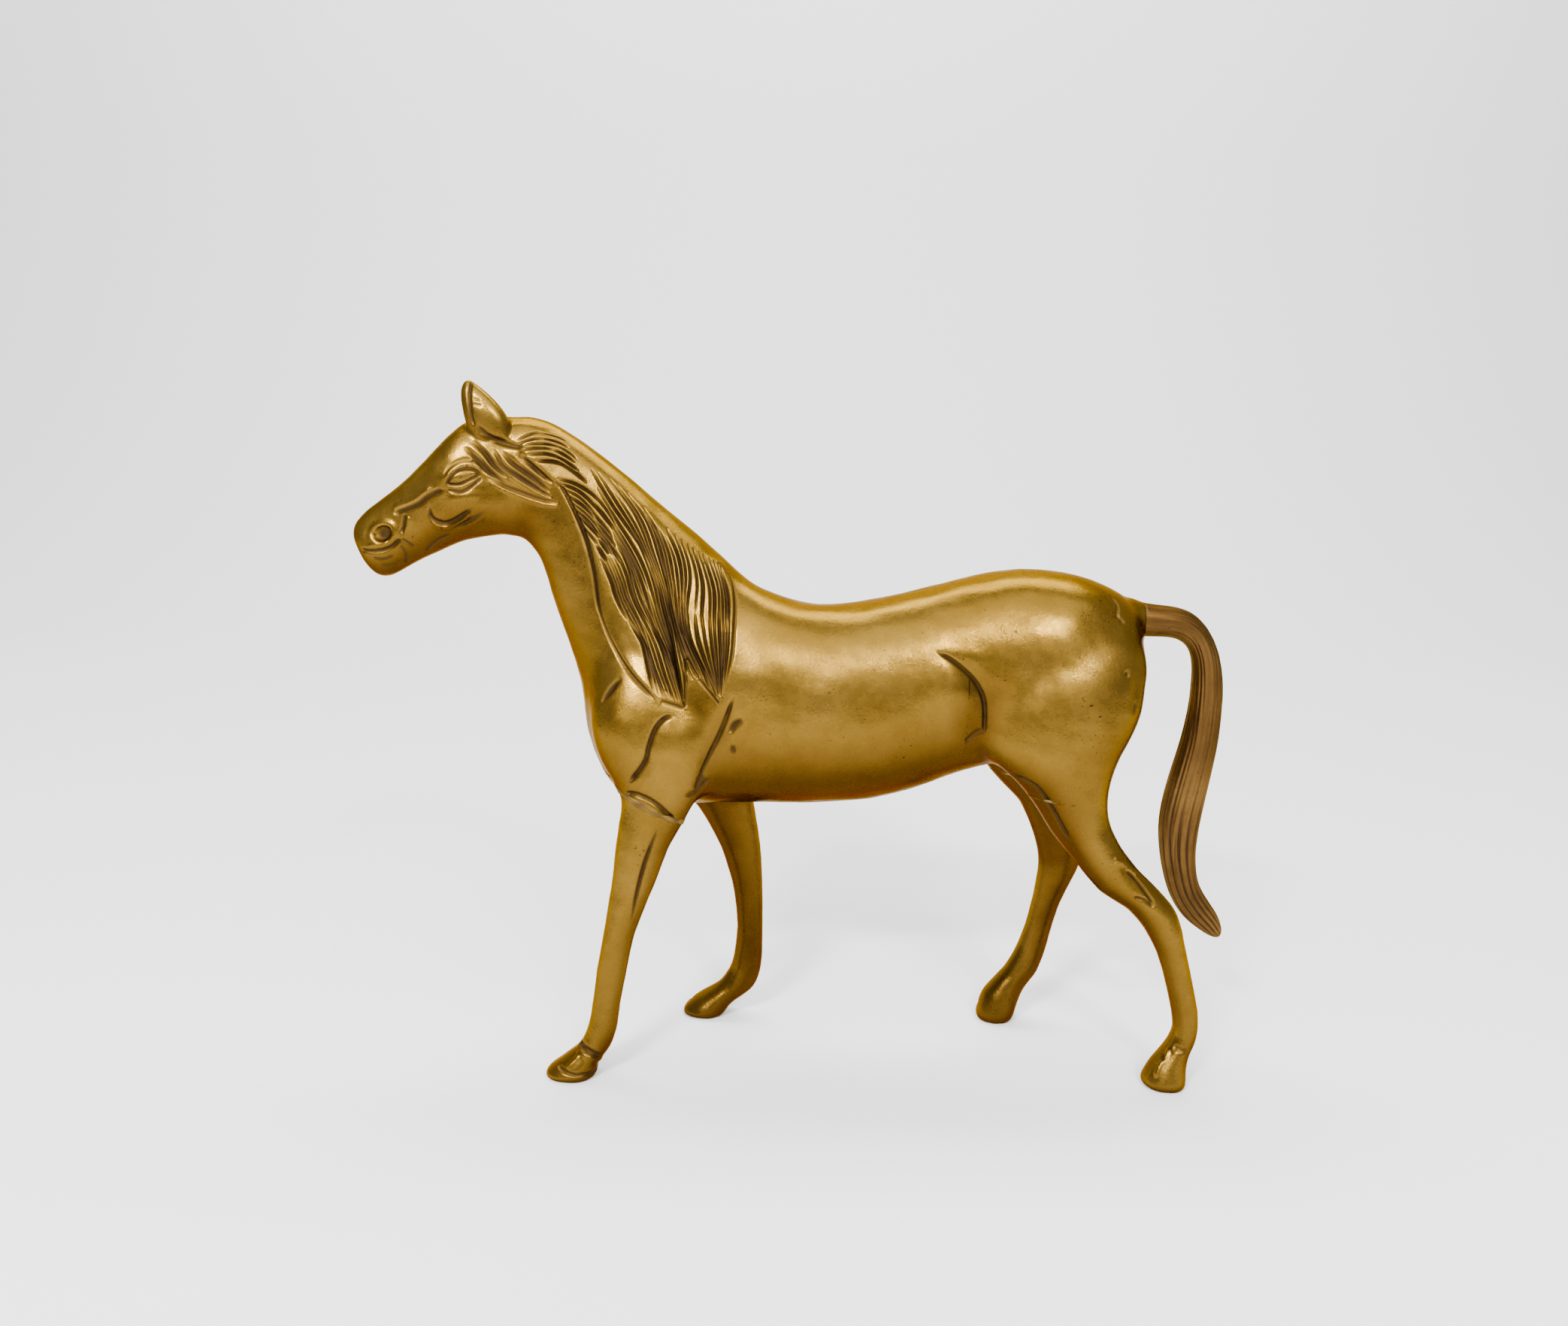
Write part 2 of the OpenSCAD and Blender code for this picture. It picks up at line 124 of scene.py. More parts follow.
# ---- distance fields
low_corner = np.array(CAD_BOX[0]) / MM - MARGIN
high_corner = np.array(CAD_BOX[1]) / MM + MARGIN
LOW = np.floor(low_corner / VOXEL).astype(int)
SIZE = tuple(int(n) for n in np.ceil(high_corner / VOXEL).astype(int) - LOW + 1)
GRID_SPACE = vdb.createLinearTransform(voxelSize=VOXEL)


def read(items, key, width=1, kind=np.float32):
    """One property of mesh elements as an array, with a row for each element."""
    values = np.zeros(len(items) * width, kind)
    items.foreach_get(key, values)
    return values.reshape(-1, width) if width > 1 else values


def node_mesh(names):
    """Corner points and triangles of CAD nodes, together."""
    points = []
    triangles = []
    start = 0
    for name in names:
        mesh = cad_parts[name].data
        mesh.calc_loop_triangles()
        points.append(read(mesh.vertices, "co", 3) / MM)
        triangles.append(read(mesh.loop_triangles, "vertices", 3, np.int32) + start)
        start += len(mesh.vertices)
    return np.vstack(points), np.vstack(triangles)


def distance(points, faces, reach):
    """Signed distance to a mesh, in a dense block of voxels."""
    kind = "triangles" if faces.shape[1] == 3 else "quads"
    grid = vdb.FloatGrid.createLevelSetFromPolygons(
        points=points.astype(np.float32),
        transform=GRID_SPACE,
        halfWidth=reach / VOXEL,
        **{kind: faces.astype(np.uint32)},
    )
    field = np.full(SIZE, reach, np.float32)
    grid.copyToArray(field, ijk=tuple(int(n) for n in LOW))
    return field


def surface(field):
    """The zero surface of a field, as points and quads."""
    grid = vdb.FloatGrid(float(field.max()))
    grid.transform = GRID_SPACE
    grid.copyFromArray(field, ijk=tuple(int(n) for n in LOW))
    return grid.convertToQuads(isovalue=0.0)


def enclosed(solid):
    """Voxels with something solid on all six sides of them."""
    result = np.ones_like(solid)
    for axis in range(3):
        before = np.logical_or.accumulate(solid, axis=axis)
        turned = np.flip(solid, axis)
        after = np.flip(np.logical_or.accumulate(turned, axis=axis), axis)
        result &= before & after
    return result


def closed(points, triangles, radius):
    """Distance field of the filled shape, with hollows under radius closed."""
    outer = distance(points, triangles, radius + 3.0) - radius
    outer[enclosed(outer < 0) & (outer > 0)] = -radius
    skin, quads = surface(outer)
    return distance(skin, quads, radius + 7.0) + radius


def blurred(field, sigma):
    """The field with a Gaussian blur of sigma millimetres."""
    reach = int(math.ceil(2.6 * sigma / VOXEL))
    steps = np.arange(-reach, reach + 1)
    weights = np.exp(-0.5 * (steps * VOXEL / sigma) ** 2)
    weights = (weights / weights.sum()).astype(np.float32)
    for axis in range(3):
        pad = [(reach, reach) if a == axis else (0, 0) for a in range(3)]
        padded = np.pad(field, pad, mode="edge")
        result = np.zeros_like(field)
        where = [slice(None)] * 3
        for i, weight in enumerate(weights):
            where[axis] = slice(i, i + field.shape[axis])
            result += weight * padded[tuple(where)]
        field = result
    return field


def smooth_union(a, b, softness):
    """Union of two fields with a fillet."""
    h = np.clip(0.5 + 0.5 * (b - a) / softness, 0.0, 1.0)
    return (b * (1 - h) + a * h - softness * h * (1 - h)).astype(np.float32)


def sample(field, points):
    """The field at points, blended between voxels."""
    place = points / VOXEL - LOW
    base = np.clip(np.floor(place).astype(int), 0, np.array(SIZE) - 2)
    f = np.clip(place - base, 0.0, 1.0)
    total = np.zeros(len(points))
    for dx in (0, 1):
        for dy in (0, 1):
            for dz in (0, 1):
                share = (
                    (f[:, 0] if dx else 1 - f[:, 0])
                    * (f[:, 1] if dy else 1 - f[:, 1])
                    * (f[:, 2] if dz else 1 - f[:, 2])
                )
                total += share * field[base[:, 0] + dx, base[:, 1] + dy, base[:, 2] + dz]
    return total


def slope(field, points, step=0.6):
    """Unit direction in which the field grows."""
    g = np.zeros_like(points)
    for axis in range(3):
        shift = np.zeros(3)
        shift[axis] = step * VOXEL
        g[:, axis] = sample(field, points + shift) - sample(field, points - shift)
    return g / np.maximum(np.linalg.norm(g, axis=1), 1e-9)[:, None]


def voxel_places():
    """x and z of every voxel, shaped to broadcast over the block."""
    x = (np.arange(SIZE[0]) + LOW[0]) * VOXEL
    z = (np.arange(SIZE[2]) + LOW[2]) * VOXEL
    return x[:, None, None], z[None, None, :]


def body_field():
    """The filled body with its legs and ears, blended where castings meet."""
    points, triangles = node_mesh(SHELLS + LEGS)
    x, z = voxel_places()
    tight = closed(points, triangles, NARROW_GAP)
    wide = closed(points, triangles, WIDE_GAP)
    upper = ramp(z, 60.0, 86.0)
    head = ramp(-x, 96.0, 108.0) * ramp(z, 150.0, 165.0)
    body = (tight + (wide - tight) * upper * (1 - 0.6 * head)).astype(np.float32)
    soft = blurred(body, 3.0)  # the smooth torso
    fine = blurred(body, 1.1)  # the head and the legs
    torso = ramp(z, 84.0, 104.0) * (1 - ramp(-x, 78.0, 100.0))
    body = (fine + (soft - fine) * torso).astype(np.float32)
    ear_points, ear_triangles = node_mesh(EARS)
    ears = blurred(closed(ear_points, ear_triangles, 0.5), 0.6)
    return smooth_union(body, ears, EAR_FILLET)


def with_tail_root(body, tail):
    """The body flares onto the tail's root, and ends where the tail begins."""
    x, z = voxel_places()
    joined = smooth_union(body, tail, TAIL_FLARE)
    joined = np.maximum(joined, (x - TAIL_JOINT_X + 0 * z).astype(np.float32))
    at_root = (x > 96.0) & (z > 135.0)
    return np.where(at_root, joined, body).astype(np.float32)


# ---- the one skin
def neighbour_mean(values, edges):
    """At each point, the mean of the values at the other ends of its edges."""
    a = np.concatenate([edges[:, 0], edges[:, 1]])
    b = np.concatenate([edges[:, 1], edges[:, 0]])
    count = np.maximum(np.bincount(a, minlength=len(values)), 1)
    if values.ndim == 1:
        return np.bincount(a, values[b], len(values)) / count
    return np.stack([np.bincount(a, values[b, i], len(values)) / count for i in range(3)], 1)


def onto(field, points):
    """Points moved onto the surface of a field."""
    return points - slope(field, points) * sample(field, points)[:, None]


def relax(points, faces, field, rounds):
    """Evens out the faces, keeping them on the surface."""
    edges = np.vstack([faces[:, [i, (i + 1) % 4]] for i in range(4)])
    for _ in range(rounds):
        points = onto(field, neighbour_mean(points, edges))
    return points


def detail_region(centres):
    """Which faces carry fine relief: the head, mane, ears and feet."""
    x, y, z = centres.T
    off_middle = np.abs(y)
    head = (x < -74) & (z > 160)
    neck = (x < -15) & (z > 122) & (x > -90)
    in_front = x < -92 + (z - 122) * 0.15
    feet = z < 18
    girth = (x < -12) & (x > -66) & (z > 92) & (z <= 122) & (off_middle > 12)
    flank = (x > 42) & (x < 68) & (z > 110) & (z < 150) & (off_middle > 14)
    stifle = (x > 66) & (x < 94) & (z > 82) & (z < 108) & (off_middle > 14)
    hock = (x > 102) & (x < 122) & (z > 60) & (z < 80)
    forearm = (x > -60) & (x < -38) & (z > 52) & (z < 92) & (y < -20)
    marks = girth | flank | stifle | hock | forearm
    return head | (neck & ~in_front) | feet | marks


def in_mane(place):
    """Whether a point is where the mane's strands are cut, behind its front edge."""
    behind_front = place.z > 133 - 0.8 * (place.x + 45)
    return behind_front and -86 < place.x < -18 and 124 < place.z < 218


def refined(points, quads):
    """The skin with its detail regions split finer, as a Blender mesh."""
    mesh = bpy.data.meshes.new("skin")
    mesh.from_pydata(points.tolist(), [], quads.tolist())
    bm = bmesh.new()
    bm.from_mesh(mesh)
    centres = points[quads].mean(1)
    chosen = detail_region(centres)
    bm.faces.ensure_lookup_table()
    edges = set()
    for index in np.nonzero(chosen)[0]:
        edges.update(bm.faces[index].edges)
    bmesh.ops.subdivide_edges(bm, edges=list(edges), cuts=1, use_grid_fill=True)
    hair = set()
    for face in bm.faces:
        if in_mane(face.calc_center_median()) and abs(face.normal.y) > 0.45:
            hair.update(face.edges)
    bmesh.ops.subdivide_edges(bm, edges=list(hair), cuts=1, use_grid_fill=True)
    bm.to_mesh(mesh)
    bm.free()
    return mesh


def mesh_points(mesh):
    return read(mesh.vertices, "co", 3).astype(float)


def averaged(values, edges, rounds):
    """Values at the points, averaged with their neighbours."""
    for _ in range(rounds):
        values = 0.5 * values + 0.5 * neighbour_mean(values, edges)
    return values


# ---- sculpting
class Clay:
    """The skin's points with the relief and patina gathered on them."""

    def __init__(self, field, points, normals):
        self.field = field
        self.points = points
        self.normals = normals
        self.height = np.zeros(len(points))
        self.patina = np.zeros(len(points))

    def lift(self, line, side):
        """Puts a line of (x, z) on the surface, seen from one side."""
        ys = np.arange(HALF_WIDTH, -HALF_WIDTH, -0.5) * side
        x = np.repeat(line[:, 0], len(ys))
        z = np.repeat(line[:, 1], len(ys))
        y = np.tile(ys, len(line))
        values = sample(self.field, np.stack([x, y, z], 1)).reshape(len(line), -1)
        inside = values < 0
        first = np.argmax(inside, axis=1)
        found = inside.any(axis=1)
        first = np.where(found, np.maximum(first, 1), np.argmin(values, axis=1))
        rows = np.arange(len(line))
        last_out = values[rows, np.maximum(first - 1, 0)]
        first_in = values[rows, first]
        share = np.where(found, last_out / np.maximum(last_out - first_in, 1e-6), 1.0)
        step = ys[1] - ys[0]
        y = ys[first] - step + step * np.clip(share, 0.0, 1.0)
        return np.stack([line[:, 0], y, line[:, 1]], 1)

    def near(self, line, reach, side):
        """Points close to a line, how far off they are, and how far along."""
        low = line.min(0) - reach
        high = line.max(0) + reach
        p = self.points
        box = ((p >= low) & (p <= high)).all(1) & (p[:, 1] * side > -0.4)
        chosen = np.nonzero(box)[0]
        local = p[chosen]
        best = np.full(len(chosen), 1e9)
        along = np.zeros(len(chosen))
        lengths = np.linalg.norm(np.diff(line, axis=0), axis=1)
        total = max(lengths.sum(), 1e-9)
        start = 0.0
        for a, b, size in zip(line[:-1], line[1:], lengths):
            step = b - a
            t = np.clip(((local - a) @ step) / max(step @ step, 1e-12), 0.0, 1.0)
            d = np.linalg.norm(local - a - t[:, None] * step, axis=1)
            closer = d < best
            best[closer] = d[closer]
            along[closer] = ((start + t * size) / total)[closer]
            start += size
        keep = best < reach
        return chosen[keep], best[keep], along[keep]

    def stroke(self, points, width, depth, sides=BOTH, ends=0.15, dark=1.0, leaf=False):
        """A groove (depth above 0) or a ridge (below 0) along a line."""
        for side in sides:
            line = self.lift(curve(points), side)
            chosen, d, t = self.near(line, width * 3.0, side)
            if leaf:
                fade = np.sin(np.pi * np.clip(t, 0, 1)) ** 0.6
            else:
                fade = ramp(t, 0, ends) * ramp(1 - t, 0, ends)
            wide = width * (0.45 + 0.55 * fade)
            shape = np.exp(-((d / wide) ** 2)) * fade
            self.height[chosen] -= depth * shape
            if depth > 0:
                stain = np.clip(1.5 * np.exp(-((d / (wide * 1.05)) ** 2.4)) * fade, 0, 1)
                self.patina[chosen] = np.maximum(self.patina[chosen], stain * dark)

    def bump(self, centre, radii, height, angle=0.0, sides=BOTH, power=2.0):
        """A smooth swelling (height above 0) or hollow (below 0)."""
        turn = math.radians(angle)
        dx = self.points[:, 0] - centre[0]
        dz = self.points[:, 2] - centre[1]
        u = (dx * math.cos(turn) + dz * math.sin(turn)) / radii[0]
        v = (-dx * math.sin(turn) + dz * math.cos(turn)) / radii[1]
        r = np.sqrt(u * u + v * v)
        shape = np.clip(1 - r**2, 0, 1) ** power
        facing = np.clip(np.abs(self.normals[:, 1]) * 1.6, 0, 1)
        on_side = np.zeros(len(dx), bool)
        for side in sides:
            on_side |= self.points[:, 1] * side > 0
        self.height += height * shape * facing * on_side
        return r, on_side


def sculpt_eye(clay):
    clay.stroke([(-118, 198.8), (-115.6, 202), (-112, 204), (-108, 203.8), (-105.4, 201.8)], 0.8, -0.35)
    clay.stroke([(-118.6, 200.2), (-116, 203.6), (-112, 205.8), (-107.5, 205.4)], 0.45, 0.2, dark=0.5)
    clay.bump((-112.2, 200.1), (5.4, 2.7), 0.7, 19, power=0.8)
    upper_lid = [(-117.6, 197.6), (-115.2, 201), (-112.2, 202.7), (-108.8, 202.7), (-106.4, 201.3)]
    lower_lid = [(-117.6, 197.6), (-113.4, 197.6), (-110.2, 199), (-106.4, 201.3)]
    for lid in (upper_lid, lower_lid):
        clay.stroke(lid, 0.42, 0.8, ends=0.05)
    clay.stroke([(-117.6, 196.7), (-113, 196.5), (-109.6, 198.1), (-106.2, 200.6)], 0.5, -0.2)
    clay.stroke([(-118.2, 195.9), (-113, 195.3), (-109, 197.4), (-105.6, 200.6)], 0.42, 0.6)
    clay.bump((-112.2, 193.4), (6.5, 3.0), 0.5, 14)


def sculpt_face(clay):
    crest = [
        (-118.2, 195.9), (-121.5, 194.9), (-124.8, 193.1),
        (-128.1, 190.8), (-131.9, 189.3), (-137, 187.6),
    ]
    clay.stroke(crest, 0.6, 0.9, ends=0.12)
    clay.stroke([(x - 0.6, z + 1.7) for x, z in crest[1:]], 1.0, -0.5)
    hook = [
        (-123.8, 191.4), (-123.6, 187.3), (-121.3, 185.3),
        (-118.3, 184.9), (-114, 186.9), (-108.8, 190.4),
    ]
    clay.stroke(hook, 0.6, 0.9, ends=0.2)
    clay.stroke([(x - 0.5, z - 1.7) for x, z in hook[1:]], 0.8, -0.7, ends=0.2)
    clay.stroke([(-118, 181), (-112, 183.6), (-105.4, 188.3)], 1.5, -0.6, leaf=True)
    clay.stroke([(-116.6, 183.2), (-110.5, 186.2), (-105.4, 189)], 0.6, 0.6, leaf=True, dark=0.8)
    clay.stroke([(-132.6, 188), (-133.2, 184), (-134.2, 181)], 0.5, 0.7)
    clay.stroke([(-131.4, 187), (-131.9, 184), (-132.6, 181.5)], 0.9, -0.4)
    clay.stroke([(-127.4, 175), (-122.5, 178.9), (-117.5, 181.3)], 0.5, 0.5, dark=0.8)
    clay.bump((-106, 190), (13, 10), 0.7, 20)
    clay.stroke([(-134, 196), (-128, 200), (-123, 205)], 1.6, 0.25, dark=0.1)


def sculpt_muzzle(clay):
    r, side = clay.bump((-140.6, 181.0), (6.2, 4.9), 0.5, 25)
    r = r * 5.5 / 3.0  # 1 at the nostril's edge
    rim = np.exp(-(((r - 1.35) / 0.3) ** 2))
    facing = np.abs(clay.normals[:, 1]) > 0.15
    clay.height += 0.35 * rim * facing * side
    pit = np.clip(1 - r**4, 0, 1) * facing * side
    clay.height -= 1.8 * pit
    clay.patina = np.maximum(clay.patina, 0.95 * np.clip(1 - (r / 0.85) ** 6, 0, 1) * facing * side)
    mouth = [(-148.5, 175.6), (-146.1, 175.2), (-142.3, 175.2), (-138.2, 176.4), (-134.4, 179.4)]
    clay.stroke(mouth, 0.45, 0.9, ends=0.06)
    clay.stroke([(-146, 176.9), (-141.5, 176.9), (-138.2, 178.4)], 0.6, -0.35)
    clay.stroke([(-134.4, 179.4), (-132.6, 178.2), (-130.3, 176.6)], 0.45, 0.6, dark=0.8)
    clay.stroke([(-134.8, 177.6), (-133.4, 174.4), (-133.8, 171)], 0.4, 0.35, dark=0.8)
    clay.stroke([(-144.5, 173), (-141, 172.4), (-137, 173.8)], 0.4, 0.3, dark=0.8)
    clay.stroke([(-142, 170.6), (-138.6, 170.2), (-135.5, 171.8)], 0.4, 0.25, dark=0.5)
    clay.bump((-141.5, 168.4), (4.5, 2.6), 0.5, 0)


def sculpt_forelock(clay):
    clay.bump((-94, 201.5), (14, 7), 0.6, -35)
    locks = [
        [(-111.5, 210), (-107.6, 205.8), (-103.8, 202), (-98.5, 198.2)],
        [(-109, 212), (-104.9, 208), (-102, 203.8), (-97.6, 200)],
        [(-102.1, 209.4), (-99.7, 204.5), (-94.9, 200.9), (-89.2, 197.3), (-82.9, 193.7)],
        [(-99.4, 208.6), (-96, 204.6), (-91.7, 201.6), (-86.7, 198), (-83.6, 195.6)],
        [(-93.4, 207.2), (-89.4, 204.1), (-85.6, 201.1), (-82.6, 198.8)],
    ]
    for lock in locks:
        clay.stroke(lock, 0.75, 1.05, leaf=True)
    for first, second in zip(locks[:-1], locks[1:]):
        clay.stroke(between(first, second, 0.5), 0.9, -0.35, leaf=True)
        clay.stroke(between(first, second, 0.35)[2:7], 0.4, 0.35, leaf=True, dark=0.8)
    edge = [(-104.4, 200.2), (-99.1, 197.6), (-93, 195.2), (-86.7, 193.2), (-80.6, 192.2)]
    clay.stroke(edge, 0.7, 0.6, leaf=True, dark=0.8)
    clay.stroke([(x, z - 1.4) for x, z in edge], 0.7, -0.35, leaf=True)
    behind_ear = [(-108.4, 217.6), (-105, 214.2), (-101.1, 212.2), (-95.4, 210.6), (-91, 210)]
    clay.stroke(behind_ear, 0.9, 0.9, ends=0.2, dark=0.8)


# Key lines of the mane's grooves, from the neck's front to the withers
MANE_LINES = [
    [(-66, 174), (-62.5, 167), (-60, 160), (-55.4, 152.6), (-51.6, 147), (-49.5, 140), (-46.6, 130)],
    [(-62.7, 174), (-59.4, 167), (-56.8, 160), (-53.6, 155), (-50.4, 148), (-47.7, 140), (-42.6, 127.6)],
    [(-61, 179), (-57, 172), (-55, 164.6), (-53.3, 160),
     (-49.3, 153), (-45.4, 145.7), (-42, 136), (-38.6, 126.8)],
    [(-63.6, 186), (-56, 174), (-52, 164.7), (-49.3, 156.4), (-45.5, 148), (-40.4, 138), (-37.4, 126.8)],
    [(-70.4, 203.5), (-62.6, 191), (-53.7, 179), (-48.4, 167), (-45.7, 156.4), (-42, 146), (-37.6, 129)],
    [(-64.4, 200.5), (-55.3, 188.7), (-50, 176.7), (-46, 167), (-43.3, 157.7), (-41, 146), (-38.4, 133)],
    [(-56, 194), (-49, 184), (-45, 172), (-42.9, 162.5), (-40.8, 153), (-37, 143.5), (-33.4, 136.4)],
    [(-47.6, 186.4), (-42, 174.4), (-40, 162.5), (-39, 153), (-35, 144), (-30.4, 134)],
    [(-40, 181), (-36.5, 169.7), (-37, 157.7), (-35.8, 148.3), (-30.7, 138), (-26.6, 129.4)],
    [(-34.4, 177), (-30.4, 165), (-30, 155.5), (-28.5, 145), (-26, 129.6)],
    [(-29.6, 174), (-26.2, 165), (-25.2, 155.5), (-24.8, 144), (-25.4, 129.8)],
    [(-25.6, 170), (-22.7, 160), (-22.3, 148.6), (-23.5, 138)],
]
HERRINGBONE = [
    [(-81, 200), (-75, 198.4), (-68.8, 194.6), (-63.7, 188.6), (-60, 182)],
    [(-79.7, 197), (-73.6, 194), (-68.6, 188.5), (-63.5, 182.5), (-59.7, 176.6)],
    [(-77, 193), (-71, 188.4), (-66, 182.4), (-61.6, 176), (-58, 170)],
    [(-75, 188.6), (-69.7, 184), (-65, 178), (-61, 172)],
    [(-72.4, 183), (-68.4, 177.6), (-64.6, 171.6)],
]
UPPER_LINES = [
    [(-95, 212.2), (-89.5, 215), (-84.5, 214.6), (-80, 213), (-76.4, 210.4)],
    [(-94.6, 210.6), (-88, 211.4), (-82, 210.8), (-77, 208.2), (-73.2, 204.4)],
    [(-91.5, 207.6), (-85.4, 208.2), (-80, 206.6), (-75.5, 203.6), (-70.6, 199.4)],
    [(-86, 204.2), (-80, 203.6), (-75, 201), (-70, 196.8), (-66.4, 192)],
]
MANE_FRONT = [
    (-84, 199.6), (-79.6, 197.2), (-75.3, 189.5), (-71, 179.7), (-68.2, 168.7),
    (-66.4, 157.5), (-62.5, 147.6), (-55.8, 137.8), (-45.3, 127.6),
]
MANE_REAR = [(-31, 176), (-25, 171.4), (-21.8, 162), (-21.6, 150), (-22.6, 140), (-26, 127.8)]
MANE_TOP = [
    (-96, 211), (-90, 216.5), (-82, 217), (-75, 213), (-69, 208.5), (-62.3, 203.4), (-54.9, 197.6),
    (-47.8, 191.6), (-40, 184.4), (-31.1, 178),
]
MANE_TIPS = [(-45, 128.6), (-37.2, 126.2), (-37.0, 142.5), (-32.8, 136.0), (-26, 127.8)]


def inside_outline(outline, points):
    """Whether (x, z) points are inside a closed line, and how far from it."""
    x, z = points.T
    within = np.zeros(len(points), bool)
    nearest = np.full(len(points), 1e9)
    for a, b in zip(outline, np.roll(outline, -1, axis=0)):
        crosses = (a[1] > z) != (b[1] > z)
        at = a[0] + (z - a[1]) / (b[1] - a[1] + 1e-12) * (b[0] - a[0])
        within ^= crosses & (x < at)
        step = b - a
        t = np.clip(((x - a[0]) * step[0] + (z - a[1]) * step[1]) / (step @ step + 1e-12), 0, 1)
        gap = np.hypot(x - a[0] - t * step[0], z - a[1] - t * step[1])
        nearest = np.minimum(nearest, gap)
    return within, nearest


def fan(clay, guides, per_gap, width, depth, starts, stops):
    """Leaf-shaped grooves between guide lines."""
    for g in range(len(guides) - 1):
        for k in range(per_gap + 1):
            share = (k + RANDOM.uniform(-0.15, 0.15)) / (per_gap + 1)
            line = between(guides[g], guides[g + 1], max(share, 0.0), 12)
            begin = RANDOM.uniform(*starts)
            end = RANDOM.uniform(*stops)
            pieces = [(begin, end)]
            if end - begin > 0.62:
                middle = RANDOM.uniform(0.45, 0.6)
                pieces = [(begin, middle + 0.06), (middle - 0.02, end)]
            for a, b in pieces:
                part = line[int(a * 11): max(int(b * 11) + 1, int(a * 11) + 3)]
                sway = RANDOM.uniform(-0.35, 0.35)
                part = part + np.array([[sway, 0.0]]) * np.linspace(0, 1, len(part))[:, None]
                size = RANDOM.uniform(0.75, 1.25)
                clay.stroke(part, width * size, depth * size, leaf=True)


def sculpt_mane(clay):
    front = curve(MANE_FRONT, 2)
    rear = curve(MANE_REAR[::-1], 2)
    top = curve(MANE_TOP[::-1], 2)
    outline = np.vstack([front, np.array(MANE_TIPS[:-1]), rear, top])
    x, _, z = clay.points.T
    chosen = np.nonzero((x < -15) & (x > -100) & (z > 120))[0]
    flat = clay.points[chosen][:, [0, 2]]
    within, gap = inside_outline(outline, flat)
    signed = np.where(within, gap, -gap)
    top_line = curve(MANE_TOP, 0.4)
    to_top = np.sqrt(((flat[:, None, :] - top_line[None, :, :]) ** 2).sum(2)).min(1)
    soft = ramp(to_top, 1.0, 6.0)
    clay.height[chosen] += soft * (0.9 * ramp(signed, -0.6, 0.9) - 0.35 * ramp(signed, 1.2, 6.0))
    clay.stroke(MANE_FRONT, 0.7, 0.9, ends=0.08, dark=0.85)
    clay.stroke(MANE_FRONT[1:7], 1.0, 0.6, ends=0.3)
    clay.stroke(MANE_REAR, 0.5, 0.6, ends=0.35, dark=0.8)
    for first, second in zip(MANE_TIPS[:-1], MANE_TIPS[1:]):
        clay.stroke([first, second], 0.5, 0.5, ends=0.05, dark=0.8)
    fan(clay, MANE_LINES, 2, 0.44, 1.25, (0.0, 0.10), (1.0, 1.0))
    fan(clay, HERRINGBONE, 1, 0.45, 1.1, (0.0, 0.1), (0.85, 1.0))
    fan(clay, UPPER_LINES, 1, 0.45, 1.1, (0.0, 0.1), (0.8, 1.0))


def sculpt_ears(clay):
    for side, lead in ((LEFT, 0.0), (RIGHT, 3.0)):
        gap = [(-109.4, 231.6), (-110.0, 227.5), (-109.8, 223), (-109.2, 219), (-108.2, 216.5)]
        gap = [(x - lead, z) for x, z in gap]
        clay.stroke(gap, 0.55, 1.0, (side,), ends=0.12)
        for x, z in ((-108.2, 225.4), (-107.8, 223.6)):
            nick = [(x - lead - 0.8, z + 0.2), (x - lead + 2.2, z - 0.3)]
            clay.stroke(nick, 0.35, 0.25, (side,), dark=0.5)
    # The right ear's back edge is shaved
    _, y, z = clay.points.T
    behind = ramp(clay.normals[:, 0], 0.1, 0.6) * ramp(y, 3.0, 5.0) * ramp(z, 215, 219)
    clay.height -= 0.9 * behind


def sculpt_chest(clay):
    clay.stroke([(-58.6, 135.4), (-61.6, 131.6), (-65, 127)], 1.0, 1.0, leaf=True)
    shoulder = [(-39.7, 123.4), (-43, 123.4), (-46.4, 120), (-48.6, 114), (-50, 108.6), (-55.6, 100.8)]
    clay.stroke(shoulder, 0.65, 1.1, ends=0.12)
    clay.stroke(shoulder, 3.0, 0.5, ends=0.3, dark=0.0)
    girth = [(-21, 131), (-25, 119.6), (-29.4, 109.4), (-32.6, 101.6), (-33.4, 97)]
    clay.stroke(girth, 0.6, 0.9, ends=0.15, dark=0.9)
    clay.stroke(girth, 3.0, 0.9, ends=0.35, dark=0.15)
    clay.stroke([(-31, 104), (-34, 98.6)], 1.6, 0.4, ends=0.2, dark=0.8)
    clay.stroke([(-37.6, 96.6), (-32.5, 98.6), (-28.6, 103.4)], 1.0, 0.8, ends=0.25, dark=0.6)
    clay.stroke([(-18.2, 122.8), (-20.8, 121), (-22.6, 118)], 0.9, 1.0, leaf=True)
    clay.stroke([(-21.6, 114), (-21, 111)], 0.8, 0.7, dark=0.9, leaf=True)
    clay.bump((-36, 112), (13, 20), 1.4, 12)
    clay.bump((-60, 118), (9, 12), 0.3, 0)
    clay.bump((-12, 138), (14, 16), 0.5, 0)


